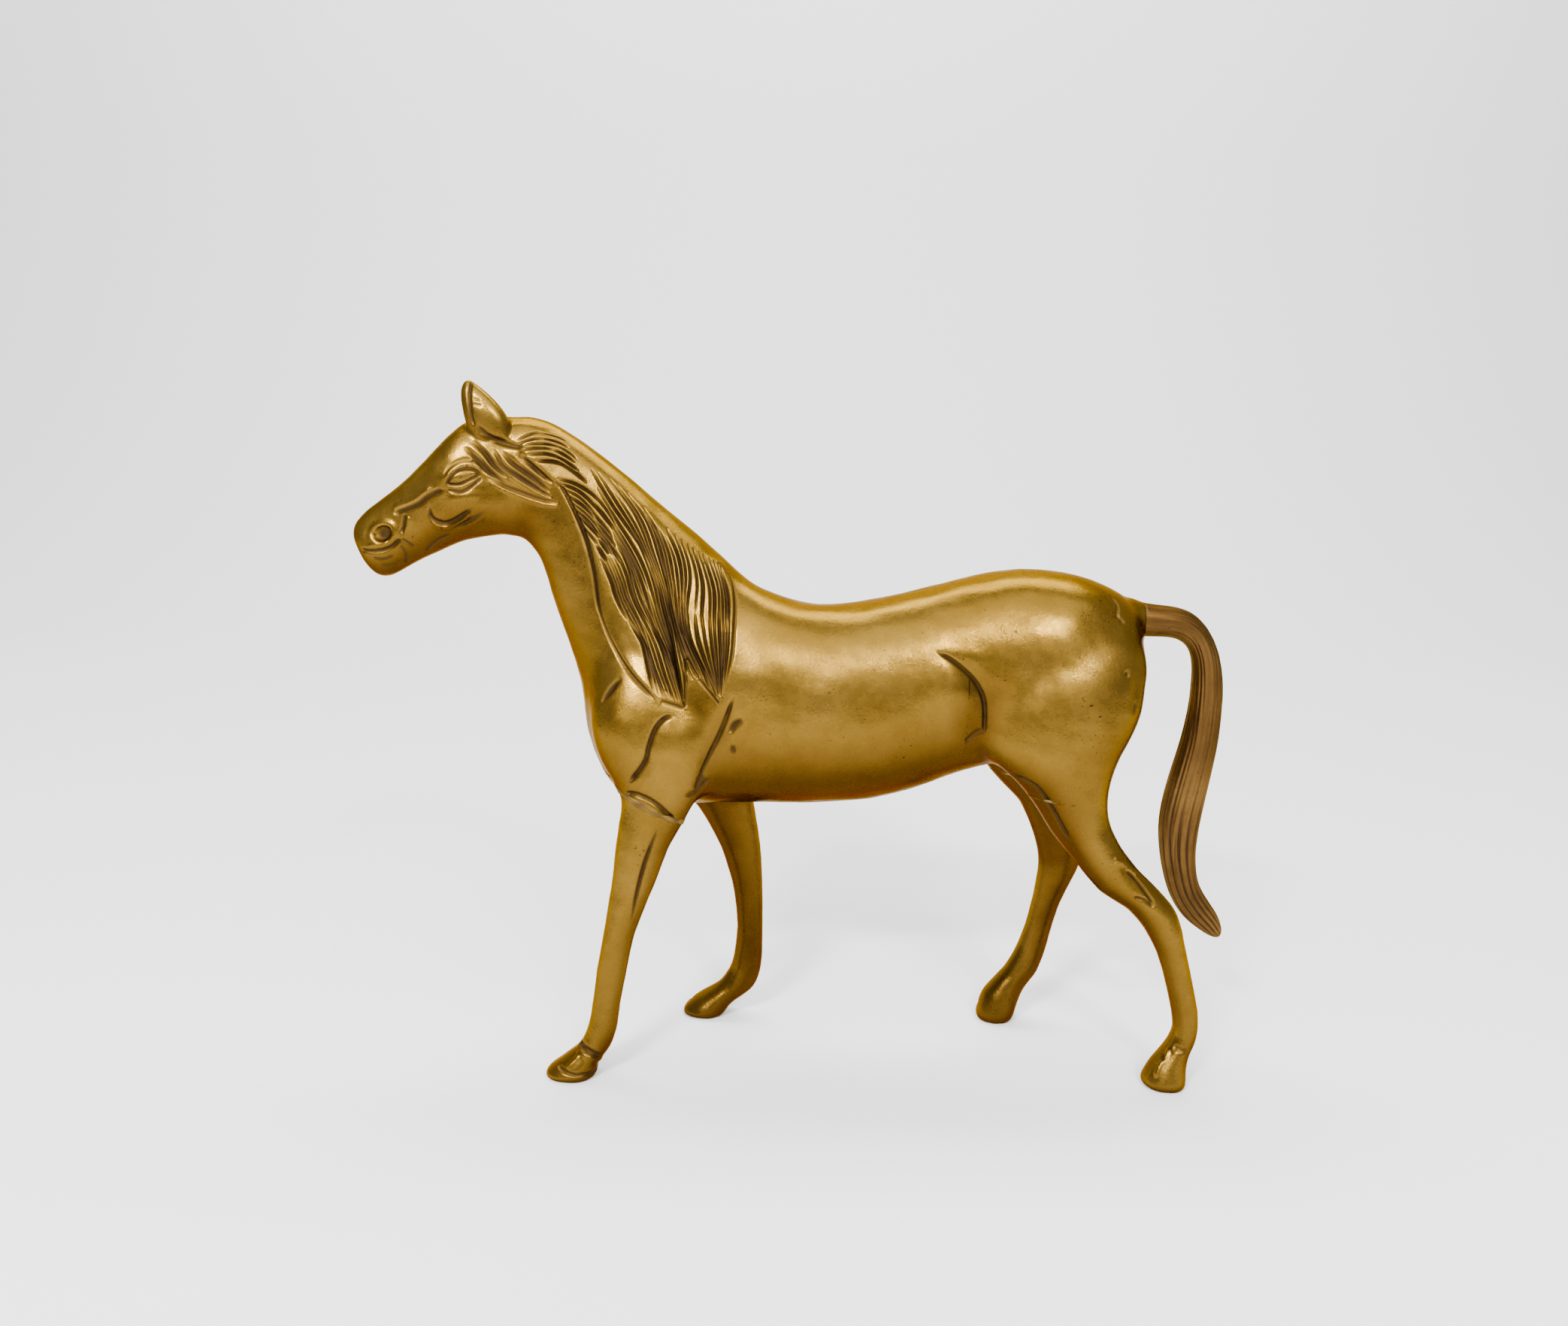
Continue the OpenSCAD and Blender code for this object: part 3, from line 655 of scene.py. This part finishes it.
def sculpt_haunch(clay):
    clay.bump((84, 140), (26, 26), 0.9, 0)
    clay.bump((62, 112), (11, 12), 0.7, 20)
    flank = [
        (44, 146.3), (49, 144), (53.6, 140.6), (57.7, 136.4), (60.6, 131), (61.4, 124.6), (61.2, 117.9),
    ]
    clay.stroke(flank, 0.55, 1.2, ends=0.12)
    clay.stroke(flank, 3.4, 1.0, ends=0.4, dark=0.1)
    clay.bump((50, 133), (11, 13), 0.9, 20)
    clay.stroke([(61, 116.5), (62.5, 110), (66, 106)], 1.8, 0.6, ends=0.3, dark=0.3)
    clay.stroke([(55.4, 115.6), (58, 118.6), (60.9, 120.6)], 0.9, 0.6, dark=0.5)
    stifle = [(70.4, 105.8), (74.5, 104.6), (78.8, 102), (83.1, 96.4), (87.1, 89.8), (90.4, 84)]
    clay.stroke(stifle, 0.6, 0.9, ends=0.12)
    clay.stroke([(106.4, 141), (107.2, 138.8)], 0.9, 0.8, ends=0.3)
    clay.stroke([(110.6, 131), (109.4, 126.6)], 0.6, 0.4, ends=0.3, dark=0.8)
    root = [(103.6, 164.6), (105.6, 161.4), (104.8, 158.6), (107.6, 155.4)]
    clay.stroke(root, 0.6, 0.7, (LEFT,), ends=0.1, dark=0.9)
    clay.stroke([(102.6, 158.4), (105.4, 157.6)], 0.5, 0.5, (LEFT,), ends=0.2, dark=0.8)
    clay.stroke([(112, 150), (111, 138), (108, 126)], 2.4, 0.5, ends=0.35, dark=0.15)


def sculpt_legs(clay):
    clay.stroke([(-45.6, 86), (-49.6, 75.2), (-52.2, 64.7), (-54, 55)], 0.65, 1.0, (LEFT,), leaf=True)
    clay.stroke([(-27, 86), (-27.6, 75), (-27.8, 64), (-28, 55)], 0.85, 0.9, (RIGHT,), leaf=True)
    elbow = [(-56.9, 97.6), (-52, 97.4), (-46, 94.6), (-40, 88.6)]
    clay.stroke(elbow, 0.7, 1.0, (LEFT,), ends=0.1, dark=0.9)
    hock = [(108.6, 75.4), (112.6, 72), (115.8, 67.8), (118.8, 63.4)]
    clay.stroke(hock, 0.5, 0.9, (LEFT,), ends=0.15)
    clay.stroke([(111.4, 66.4), (115.6, 65.4), (118.6, 63)], 0.45, 0.7, (LEFT,), ends=0.15, dark=0.9)
    clay.stroke([(104, 79), (109, 77), (113, 73)], 1.2, -0.4, (LEFT,))


def sculpt_feet(clay):
    fetlock = [(-72.4, 12), (-70, 11.6), (-67.4, 10.6), (-64, 8.4)]
    clay.stroke(fetlock, 0.9, 0.9, (LEFT,), ends=0.1, dark=0.9)
    clay.stroke([(x, z - 2.0) for x, z in fetlock], 1.0, -0.4, (LEFT,))
    toe = [(-78.4, 5.2), (-74.5, 3.9), (-71.8, 3.2), (-69, 3.2), (-65.6, 2.6)]
    clay.stroke(toe, 0.6, 0.7, (LEFT,), ends=0.1, dark=0.8)
    clay.stroke([(-71, 9.4), (-73.6, 6.6), (-76, 4.8)], 0.9, -0.5, (LEFT,))
    far_toe = [(-39.6, 4.6), (-35, 4.2), (-30.7, 3.4), (-25.8, 3.6)]
    clay.stroke(far_toe, 0.6, 0.7, (RIGHT,), ends=0.1, dark=0.8)
    far_hind_toe = [(71.6, 5.4), (76.4, 4.8), (81.5, 5.6), (86.6, 7.4)]
    clay.stroke(far_hind_toe, 0.7, 0.8, (RIGHT,), ends=0.1, dark=0.8)
    clay.stroke([(126.7, 14.4), (125.5, 11.8), (123.1, 8.2), (121.4, 4.4)], 0.8, -0.6, (LEFT,))
    clay.stroke([(124.9, 12), (124.2, 9.6)], 0.7, 0.5, (LEFT,), ends=0.3, dark=0.9)
    clay.stroke([(127.6, 15.2), (130, 14.4), (132, 14.6)], 0.8, 0.5, (LEFT,), ends=0.2, dark=0.5)


SCULPTED = (
    sculpt_mane, sculpt_forelock, sculpt_face, sculpt_eye, sculpt_muzzle,
    sculpt_ears, sculpt_chest, sculpt_haunch, sculpt_legs, sculpt_feet,
)


def waviness(points, size, seed):
    """Smooth random values from a few crossed sine waves, about -1 to 1."""
    source = np.random.default_rng(seed)
    waves = 7
    total = np.zeros(len(points))
    for _ in range(waves):
        direction = source.normal(size=3)
        direction /= np.linalg.norm(direction)
        turns = points @ direction * (2 * math.pi / size) * source.uniform(0.7, 1.5)
        total += np.sin(turns + source.uniform(0, 6.3))
    return total / (waves / 2)


# Painted shade: darker patches in the hollows and a few other places: x, z, reach in x and z, amount
PAINTED_SHADE_PATCHES = [
    (60, 128, 14, 18, 0.28),
    (86, 92, 16, 22, 0.25),
    (-86, 188, 14, 12, 0.30),
    (-116, 210, 10, 8, 0.22),
    (112, 152, 9, 9, 0.30),
    (-32, 128, 10, 7, 0.35),
    (2, 168, 16, 8, 0.12),
]


def grime_at(field, points, normals):
    """Painted shade: darker on undersides, where surfaces come close together, towards the bottom, on
    the legs' inner sides and in listed patches.
    """
    under = ramp(-normals[:, 2], -0.4, 0.62)
    shut = np.zeros(len(points))
    for reach in (2.5, 5.5):
        open_space = sample(field, points + normals * reach) / reach
        shut = np.maximum(shut, ramp(1 - open_space, 0.1, 0.8))
    x, y, z = points.T
    low = 0.25 * ramp(-z, -60.0, -5.0)
    inward = ramp(-y * normals[:, 1] / 20.0, 0.0, 0.6)
    inner = 0.35 * inward * ramp(-z, -100.0, -85.0)
    legs = 0.08 * ramp(-z, -110.0, -85.0)
    patches = np.zeros(len(points))
    for centre_x, centre_z, wide, high, amount in PAINTED_SHADE_PATCHES:
        r = np.hypot((x - centre_x) / wide, (z - centre_z) / high)
        patches += amount * ramp(-r, -1.0, -0.2)
    return np.clip(0.95 * under + 0.7 * shut + low + inner + legs + patches, 0.0, 1.0)


def store(mesh, name, values):
    layer = mesh.attributes.new(name, "FLOAT", "POINT")
    layer.data.foreach_set("value", values.astype(np.float32))


def joint_plane(leg):
    """A point on a leg's joint plane, and the plane's direction."""
    x, z, tilt = LEG_JOINTS[leg]
    turn = math.radians(tilt)
    return (x, 0, z), (math.sin(turn), 0, math.cos(turn))


def snapped(points):
    """Puts points that are close to a joint plane on it, so that cuts leave no slivers."""
    points = points.copy()
    near = 0.34 * VOXEL

    def snap(point, normal, limit, where):
        n = np.array(normal, float)
        off = (points - np.array(point, float)) @ n
        close = (np.abs(off) < limit) & where
        points[close] -= off[close, None] * n

    x = points[:, 0]
    z = points[:, 2]
    body = z > 80
    fine = detail_region(points)
    snap((SHOULDER_X, 0, 0), (1, 0, 0), near, body)
    snap((FLANK_X, 0, 0), (1, 0, 0), near, body)
    snap((0, 0, 0), (0, 1, 0), near, ~fine)
    snap((0, 0, 0), (0, 1, 0), near * 0.5, fine)
    snap(EAR_JOINT[0], EAR_JOINT[1], near * 0.5, (x < -90) & (z > 205))
    for leg in LEGS:
        point, normal = joint_plane(leg)
        side = LEFT if leg.endswith("left") else RIGHT
        there = (np.abs(x - point[0]) < 34) & (points[:, 1] * side > 0) & (np.abs(z - point[2]) < 20)
        snap(point, normal, near, there)
    return points


def make_skin(field):
    """The whole sculpted skin as a Blender mesh, in millimetres."""
    points, quads = surface(field)
    points = relax(points.astype(float), quads.astype(int), field, 4)
    mesh = refined(points, quads[:, ::-1])
    edges = read(mesh.edges, "vertices", 2, np.int32)
    points = mesh_points(mesh)
    for _ in range(2):
        points = onto(field, averaged(points, edges, 1))
    normals = slope(field, points)
    clay = Clay(field, points, normals)
    for sculpt_part in SCULPTED:
        sculpt_part(clay)
    clay.height += 0.10 * waviness(points, 17.0, 3) + 0.05 * waviness(points, 7.0, 4)
    height = averaged(clay.height, edges, 1)
    points = points + normals * height[:, None]
    points[:, 2] = np.maximum(points[:, 2], 0.0)
    points = snapped(points)
    mesh.vertices.foreach_set("co", points.astype(np.float32).ravel())
    store(mesh, "patina", averaged(clay.patina, edges, 1))
    # painted shade on the skin: darker undersides, creases, lower parts and patches
    store(mesh, "grime", averaged(grime_at(field, clay.points, normals), edges, 2))
    mesh.update()
    directions = read(mesh.vertex_normals, "vector", 3)
    layer = mesh.attributes.new("facing", "FLOAT_VECTOR", "POINT")
    layer.data.foreach_set("vector", directions.ravel())
    return mesh


# ---- separate castings
def cut(bm, point, normal):
    """Splits a closed mesh by a plane into two closed meshes: behind and in front."""
    halves = []
    for keep_front in (False, True):
        half = bm.copy()
        everything = half.verts[:] + half.edges[:] + half.faces[:]
        bmesh.ops.bisect_plane(
            half, geom=everything, dist=2e-3, plane_co=Vector(point), plane_no=Vector(normal),
            clear_outer=not keep_front, clear_inner=keep_front,
        )
        rim = [e for e in half.edges if e.is_boundary]
        if rim:
            made = bmesh.ops.holes_fill(half, edges=rim, sides=0)
            for face in made["faces"]:
                face.smooth = False
        halves.append(half)
    bm.free()
    return halves


def split_castings(skin):
    """The skin cut along its joints, as a closed bmesh for each CAD node."""
    whole = bmesh.new()
    whole.from_mesh(skin)
    for face in whole.faces:
        face.smooth = True
    result = {}
    front, rest = cut(whole, (SHOULDER_X, 0, 0), (1, 0, 0))
    middle, back = cut(rest, (FLANK_X, 0, 0), (1, 0, 0))
    for section, piece in (("forehand", front), ("barrel", middle), ("haunch", back)):
        for side, half in zip(("left", "right"), cut(piece, (0, 0, 0), (0, 1, 0))):
            leg = {"forehand": "foreleg_", "haunch": "hindleg_"}.get(section)
            if section == "forehand":
                half, ear = cut(half, *EAR_JOINT)
                result["ear_" + side] = ear
            if leg:
                lower, half = cut(half, *joint_plane(leg + side))
                result[leg + side] = lower
            result[section + "_" + side] = half
    return result


def keep_facing(mesh):
    """Shades a cut piece with the whole skin's normals, so that seams stay fine."""
    facing = mesh.attributes.get("facing")
    if facing is None:
        return
    stored = read(facing.data, "vector", 3)
    corners = read(mesh.loops, "vertex_index", kind=np.int32)
    normals = read(mesh.corner_normals, "vector", 3)
    smooth = read(mesh.polygons, "use_smooth", kind=bool)
    sizes = read(mesh.polygons, "loop_total", kind=np.int32)
    on_skin = np.repeat(smooth, sizes)
    normals[on_skin] = stored[corners[on_skin]]
    normals /= np.maximum(np.linalg.norm(normals, axis=1), 1e-9)[:, None]
    mesh.attributes.remove(facing)
    mesh.normals_split_custom_set(normals.tolist())


def finish_piece(node, bm, material):
    """Makes a visible piece, in metres, that stands for one CAD node."""
    name = "cast_" + node
    mesh = bpy.data.meshes.new(name)
    bm.to_mesh(mesh)
    bm.free()
    points = mesh_points(mesh) * MM
    mesh.vertices.foreach_set("co", points.astype(np.float32).ravel())
    mesh.materials.append(material)
    mesh.update()
    keep_facing(mesh)
    piece = bpy.data.objects.new(name, mesh)
    bpy.context.scene.collection.objects.link(piece)
    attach(piece, "root")
    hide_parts(node)


# ---- tail and braze
def mesh_from(points, faces):
    mesh = bpy.data.meshes.new("part")
    mesh.from_pydata(points.tolist(), [], faces.tolist())
    bm = bmesh.new()
    bm.from_mesh(mesh)
    for face in bm.faces:
        face.smooth = True
    return bm


# Grooves and hairs round the tail, and the grooves' depth
TAIL_GROOVES = 13
TAIL_HAIRS = 29
GROOVE_DEPTH = 0.50
# The line along the middle of the tail, from its root to its tip
TAIL_SPINE = [
    (114.5, 156.5), (121, 155.8), (127.3, 155.4), (133, 154), (137.7, 150), (140.8, 143),
    (142, 134), (141.8, 125), (140.7, 114.5), (138.8, 105), (136.9, 95.5), (135.5, 86),
    (135.2, 77), (136.2, 68.3), (138.5, 60), (142.7, 53.5), (147, 48.8), (152.3, 42.8),
]


def tail_field():
    points, triangles = node_mesh(["tail"])
    return blurred(closed(points, triangles, 0.6), 0.9)


def paint(bm, **layers):
    """Stores a value for each point in each named layer."""
    for name, values in layers.items():
        layer = bm.verts.layers.float.new(name)
        for vert, value in zip(bm.verts, values):
            vert[layer] = float(value)


def make_tail(field):
    """The separately cast tail, with combed grooves along its hairs."""
    points, quads = surface(field)
    points = relax(points.astype(float), quads.astype(int), field, 3)
    bm = mesh_from(points, quads[:, ::-1].astype(int))
    bmesh.ops.subdivide_edges(bm, edges=bm.edges[:], cuts=2, use_grid_fill=True)
    points = np.array([v.co[:] for v in bm.verts])
    points = onto(field, points)
    normals = slope(field, points)
    spine = curve(TAIL_SPINE, 1.0)
    gap = np.linalg.norm(points[:, None, [0, 2]] - spine[None, :, :], axis=2)
    nearest = gap.argmin(1)
    ahead = np.gradient(spine, axis=0)[nearest]
    offset = points[:, [0, 2]] - spine[nearest]
    across = offset[:, 0] * ahead[:, 1] - offset[:, 1] * ahead[:, 0]
    across /= np.linalg.norm(ahead, axis=1)
    turn = np.arctan2(points[:, 1], across + 1e-6)
    along = nearest / len(spine)
    wander = 0.8 * np.sin(along * 9) + 0.5 * np.sin(along * 17 + turn)
    groove = np.clip(np.sin(turn * TAIL_GROOVES + wander), 0, 1) ** 2
    fine = np.sin(turn * TAIL_HAIRS + 2.2 * np.sin(along * 13 + 1.0))
    lower = 0.28 + 0.72 * ramp(along, 0.5, 0.72)
    ends = ramp(along, 0.05, 0.14) * ramp(-along, -1.0, -0.95)
    height = ends * (0.06 - GROOVE_DEPTH * lower * groove + 0.07 * fine)
    points = points + normals * height[:, None]
    for vert, place in zip(bm.verts, points.tolist()):
        vert.co = place
    stain = np.clip(0.05 + 0.8 * lower * groove * ends + 0.08 * fine, 0, 1)
    # the tail is made darker towards its root, through the layer that carries the body's painted shade
    paint(bm, patina=stain, grime=0.1 + 0.35 * ramp(-along, -0.62, -0.40))
    return bm


def make_bead(name, base, point, normal, half_width, proud, seed):
    """A lumpy ring of braze that hugs a surface along a joint plane."""
    points, _ = node_mesh([name])
    step = 0.3
    first = np.floor((points.min(0) - 2.0) / step).astype(int)
    last = np.ceil((points.max(0) + 2.0) / step).astype(int)
    shape = tuple(int(n) for n in last - first + 1)
    index = np.stack(np.meshgrid(*[np.arange(n) for n in shape], indexing="ij"), -1)
    places = (index.reshape(-1, 3) + first) * step
    skin = sample(base, places)
    lumps = waviness(places, 6.0, seed)
    from_plane = np.abs((places - np.array(point)) @ np.array(normal))
    band = from_plane - half_width * (1 + 0.35 * lumps)
    outside = skin - proud * (1 + 0.5 * lumps)
    inside = -(skin + 1.0)
    ring = -smooth_union(-outside, -band, 0.5)
    ring = np.maximum(ring, inside).astype(np.float32).reshape(shape)
    edge = np.ones(shape, bool)
    edge[1:-1, 1:-1, 1:-1] = False
    ring[edge] = np.maximum(ring[edge], 0.5)
    grid = vdb.FloatGrid(1.0)
    grid.transform = vdb.createLinearTransform(voxelSize=step)
    grid.copyFromArray(ring, ijk=tuple(int(n) for n in first))
    corners, quads = grid.convertToQuads(isovalue=0.0)
    bm = mesh_from(corners, quads[:, ::-1].astype(int))
    axes = {"use_axis_x": True, "use_axis_y": True, "use_axis_z": True}
    bmesh.ops.smooth_vert(bm, verts=bm.verts[:], factor=0.5, **axes)
    stain = 0.2 + 0.5 * waviness(corners.astype(float), 4.0, seed + 1)
    # the braze is evenly darkened, through the layer that carries the body's painted shade
    paint(bm, patina=np.clip(stain, 0, 1), grime=np.full(len(corners), 0.3))
    return bm


# ---- materials
# The colour multiplied in for painted shade on the body, and for the darker tone of the tail's root and
# the braze
SHADE_AND_GRIME_TINT = (0.25, 0.188, 0.12)
# How fine the noise patterns are, in cells per metre
BLOTCHES = 38.0
CLUSTERS = 55.0
SPECKS = 260.0
PITS = 820.0


def new_material(name):
    material = bpy.data.materials.new(name)
    material.use_nodes = True
    tree = material.node_tree
    shader = tree.nodes["Principled BSDF"]
    return material, tree, shader


def add(tree, kind, **values):
    node = tree.nodes.new(kind)
    for key, value in values.items():
        if key in node.inputs:
            node.inputs[key].default_value = value
        else:
            setattr(node, key, value)
    return node


def metal(name, bright, mid, dark, stain, edge, roughness, grain):
    """Worn cast metal: mottled, darkened by painted shade (a darker tone on the tail and braze), stained
    in its hollows, pitted and grainy.
    """
    material, tree, shader = new_material(name)
    place = add(tree, "ShaderNodeTexCoord").outputs["Object"]
    worn = add(tree, "ShaderNodeAttribute", attribute_name="patina").outputs["Fac"]
    shade_and_grime_share = add(tree, "ShaderNodeAttribute", attribute_name="grime").outputs["Fac"]

    def feed(socket, value):
        """Links a node's output to a socket, or sets the socket's own value."""
        if isinstance(value, bpy.types.NodeSocket):
            tree.links.new(value, socket)
        else:
            socket.default_value = value

    def noise(scale, detail, uneven):
        node = add(tree, "ShaderNodeTexNoise", Scale=scale, Detail=detail, Roughness=uneven)
        feed(node.inputs["Vector"], place)
        return node.outputs["Fac"]

    def graded(value, low, high):
        """A colour ramp between two pairs of position and colour."""
        node = add(tree, "ShaderNodeValToRGB")
        for index, (position, colour) in enumerate((low, high)):
            node.color_ramp.elements[index].position = position
            node.color_ramp.elements[index].color = (*colour, 1)
        feed(node.inputs["Fac"], value)
        return node

    def blend(share, first, second, kind="MIX"):
        node = add(tree, "ShaderNodeMix", data_type="RGBA", blend_type=kind)
        for index, value in ((0, share), (6, first), (7, second)):
            feed(node.inputs[index], value)
        return node.outputs[2]

    def spread(value, start, end, low=0.0, high=1.0):
        limits = {"From Min": start, "From Max": end, "To Min": low, "To Max": high}
        node = add(tree, "ShaderNodeMapRange", **limits)
        feed(node.inputs["Value"], value)
        return node.outputs["Result"]

    def times_plus(value, factor, extra):
        node = add(tree, "ShaderNodeMath", operation="MULTIPLY_ADD")
        for index, part in enumerate((value, factor, extra)):
            feed(node.inputs[index], part)
        return node.outputs[0]

    mottled = graded(noise(BLOTCHES, 6.0, 0.62), (0.3, dark), (0.72, bright))
    mottled.color_ramp.elements.new(0.5).color = (*mid, 1)
    clean = mottled.outputs["Color"]
    # painted shade: the colour is multiplied darker where the shade layer is high
    shaded_and_grimy = blend(shade_and_grime_share, clean, blend(1.0, clean, (*SHADE_AND_GRIME_TINT, 1), "MULTIPLY"))
    speck = noise(SPECKS, 4.0, 0.6)
    lighter_stain = (stain[0] * 1.6, stain[1] * 1.7, stain[2] * 1.6)
    stained = graded(speck, (0.35, stain), (0.75, lighter_stain)).outputs["Color"]
    pits = spread(noise(PITS, 2.0, 0.5), 0.66, 0.71)
    clusters = spread(noise(CLUSTERS, 3.0, 0.6), 0.50, 0.66)
    pitted = blend(times_plus(pits, clusters, 0.0), blend(worn, shaded_and_grimy, stained), stained)
    feed(shader.inputs["Base Color"], pitted)
    feed(shader.inputs["Specular Tint"], edge)
    feed(shader.inputs["Specular IOR Level"], 0.3)
    polish = spread(speck, 0.0, 1.0, roughness - 0.08, roughness + 0.12)
    feed(shader.inputs["Roughness"], times_plus(worn, 0.3, polish))
    feed(shader.inputs["Metallic"], times_plus(worn, -0.25, 1.0))
    bump = add(tree, "ShaderNodeBump", Strength=0.25, Distance=0.0003)
    feed(bump.inputs["Height"], noise(grain, 5.0, 0.65))
    feed(shader.inputs["Normal"], bump.outputs["Normal"])
    return material


# ---- studio
# Soft boxes, in metres and watts: place, aim, width and height, power
LAMPS = {
    "soft": ((0.0, -1.15, 1.75), (0, 0, 0.12), (3.0, 1.6), 36),
    "front": ((0.0, -1.9, 0.72), (0, 0, 0.12), (3.0, 0.8), 7),
    "key": ((-0.38, -0.85, 0.72), (0, 0, 0.12), (0.20, 0.08), 16),
    "fill": ((0.30, -0.90, 0.76), (0, 0, 0.12), (0.20, 0.08), 9),
    "back": ((0.0, 0.9, 2.6), (0, 1.6, 0.3), (3.0, 1.0), 108),
}
WORLD_STRENGTH = 0.70
# The floor runs back, bends up and ends as a wall, in metres
FLOOR_FRONT = -4.0
FLOOR_BACK = 1.2
BEND_RADIUS = 1.0
BEND_STEPS = 12
WALL_TOP = 4.0
FLOOR_HALF_WIDTH = 5.0
# The camera's place in metres, its angles in degrees and its lens in millimetres
CAMERA_PLACE = (-0.005, -0.390, 0.1865)
CAMERA_DOWN = 7.0
CAMERA_ROLL = 1.0
CAMERA_LENS = 26.0


def pale_light():
    world = bpy.data.worlds.new("studio")
    world.use_nodes = True
    background = world.node_tree.nodes["Background"]
    background.inputs["Color"].default_value = (1.0, 1.0, 1.0, 1)
    background.inputs["Strength"].default_value = WORLD_STRENGTH
    bpy.context.scene.world = world


def pale_floor():
    profile = [(FLOOR_FRONT, 0.0), (FLOOR_BACK, 0.0)]
    for step in range(1, BEND_STEPS + 1):
        turn = math.radians(90 * step / BEND_STEPS)
        out = BEND_RADIUS * math.sin(turn)
        up = BEND_RADIUS * (1.0 - math.cos(turn))
        profile.append((FLOOR_BACK + out, up))
    profile.append((FLOOR_BACK + BEND_RADIUS, WALL_TOP))
    sides = (-FLOOR_HALF_WIDTH, FLOOR_HALF_WIDTH)
    corners = [(x, y, z) for y, z in profile for x in sides]
    strips = [(2 * i, 2 * i + 1, 2 * i + 3, 2 * i + 2) for i in range(len(profile) - 1)]
    mesh = bpy.data.meshes.new("floor")
    mesh.from_pydata(corners, [], strips)
    mesh.polygons.foreach_set("use_smooth", [True] * len(strips))
    floor = bpy.data.objects.new("floor", mesh)
    bpy.context.scene.collection.objects.link(floor)
    pale, _, shader = new_material("pale_floor")
    shader.inputs["Base Color"].default_value = (0.92, 0.92, 0.92, 1)
    shader.inputs["Roughness"].default_value = 0.9
    mesh.materials.append(pale)


def lamp(name, place, target, size, power):
    """A rectangular soft box that faces its target."""
    data = bpy.data.lights.new(name, "AREA")
    data.shape = "RECTANGLE"
    data.size = size[0]
    data.size_y = size[1]
    data.energy = power
    box = bpy.data.objects.new(name, data)
    box.location = place
    aim = Vector(target) - Vector(place)
    box.rotation_euler = aim.to_track_quat("-Z", "Y").to_euler()
    bpy.context.scene.collection.objects.link(box)


def camera():
    data = bpy.data.cameras.new("camera")
    data.lens = CAMERA_LENS
    data.clip_start = 0.01
    data.clip_end = 50
    eye = bpy.data.objects.new("camera", data)
    pitch = math.radians(CAMERA_DOWN)
    roll = math.radians(CAMERA_ROLL)
    forward = Vector((0, math.cos(pitch), -math.sin(pitch)))
    right = Vector((1, 0, 0))
    up = right.cross(forward)
    tilted_right = right * math.cos(roll) + up * math.sin(roll)
    tilted_up = -right * math.sin(roll) + up * math.cos(roll)
    columns = Matrix((tilted_right, tilted_up, -forward))
    eye.matrix_world = Matrix.Translation(CAMERA_PLACE) @ columns.transposed().to_4x4()
    bpy.context.scene.collection.objects.link(eye)
    bpy.context.scene.camera = eye


# ---- the build
brass = metal(
    "worn_brass",
    bright=(0.240, 0.138, 0.022), mid=(0.200, 0.112, 0.015), dark=(0.155, 0.084, 0.009),
    stain=(0.026, 0.013, 0.004), edge=(0.62, 0.46, 0.25, 1), roughness=0.25, grain=900.0,
)
tail_brass = metal(
    "rough_brass",
    bright=(0.185, 0.098, 0.027), mid=(0.120, 0.061, 0.016), dark=(0.075, 0.036, 0.010),
    stain=(0.018, 0.009, 0.005), edge=(0.70, 0.56, 0.40, 1), roughness=0.40, grain=700.0,
)
braze = metal(
    "grey_braze",
    bright=(0.20, 0.155, 0.07), mid=(0.19, 0.115, 0.026), dark=(0.12, 0.066, 0.012),
    stain=(0.04, 0.024, 0.012), edge=(0.70, 0.60, 0.42, 1), roughness=0.40, grain=500.0,
)
# Braze rings on the legs: the leg, and the ring's half width and height above the metal
BEADS = {
    "foreleg_bead_left": ("foreleg_left", 1.0, 0.22),
    "foreleg_bead_right": ("foreleg_right", 0.9, 0.18),
    "hindleg_bead_left": ("hindleg_left", 0.5, 0.03),
    "hindleg_bead_right": ("hindleg_right", 0.5, 0.03),
}


def castings():
    """All the pieces of brass and braze."""
    tail_base = tail_field()
    field = with_tail_root(body_field(), tail_base)
    for node, bm in split_castings(make_skin(field)).items():
        finish_piece(node, bm, brass)
    finish_piece("tail", make_tail(tail_base), tail_brass)
    for seed, (node, (leg, half_width, proud)) in enumerate(BEADS.items(), 20):
        bead = make_bead(node, field, *joint_plane(leg), half_width, proud, seed)
        finish_piece(node, bead, braze)
    at_tail = (TAIL_BEAD_X, 0, 0)
    bead = make_bead("tail_bead", tail_base, at_tail, (1, 0, 0), 0.6, 0.03, 31)
    finish_piece("tail_bead", bead, braze)


castings()
pale_light()
pale_floor()
for name, setting in LAMPS.items():
    lamp(name, *setting)
camera()
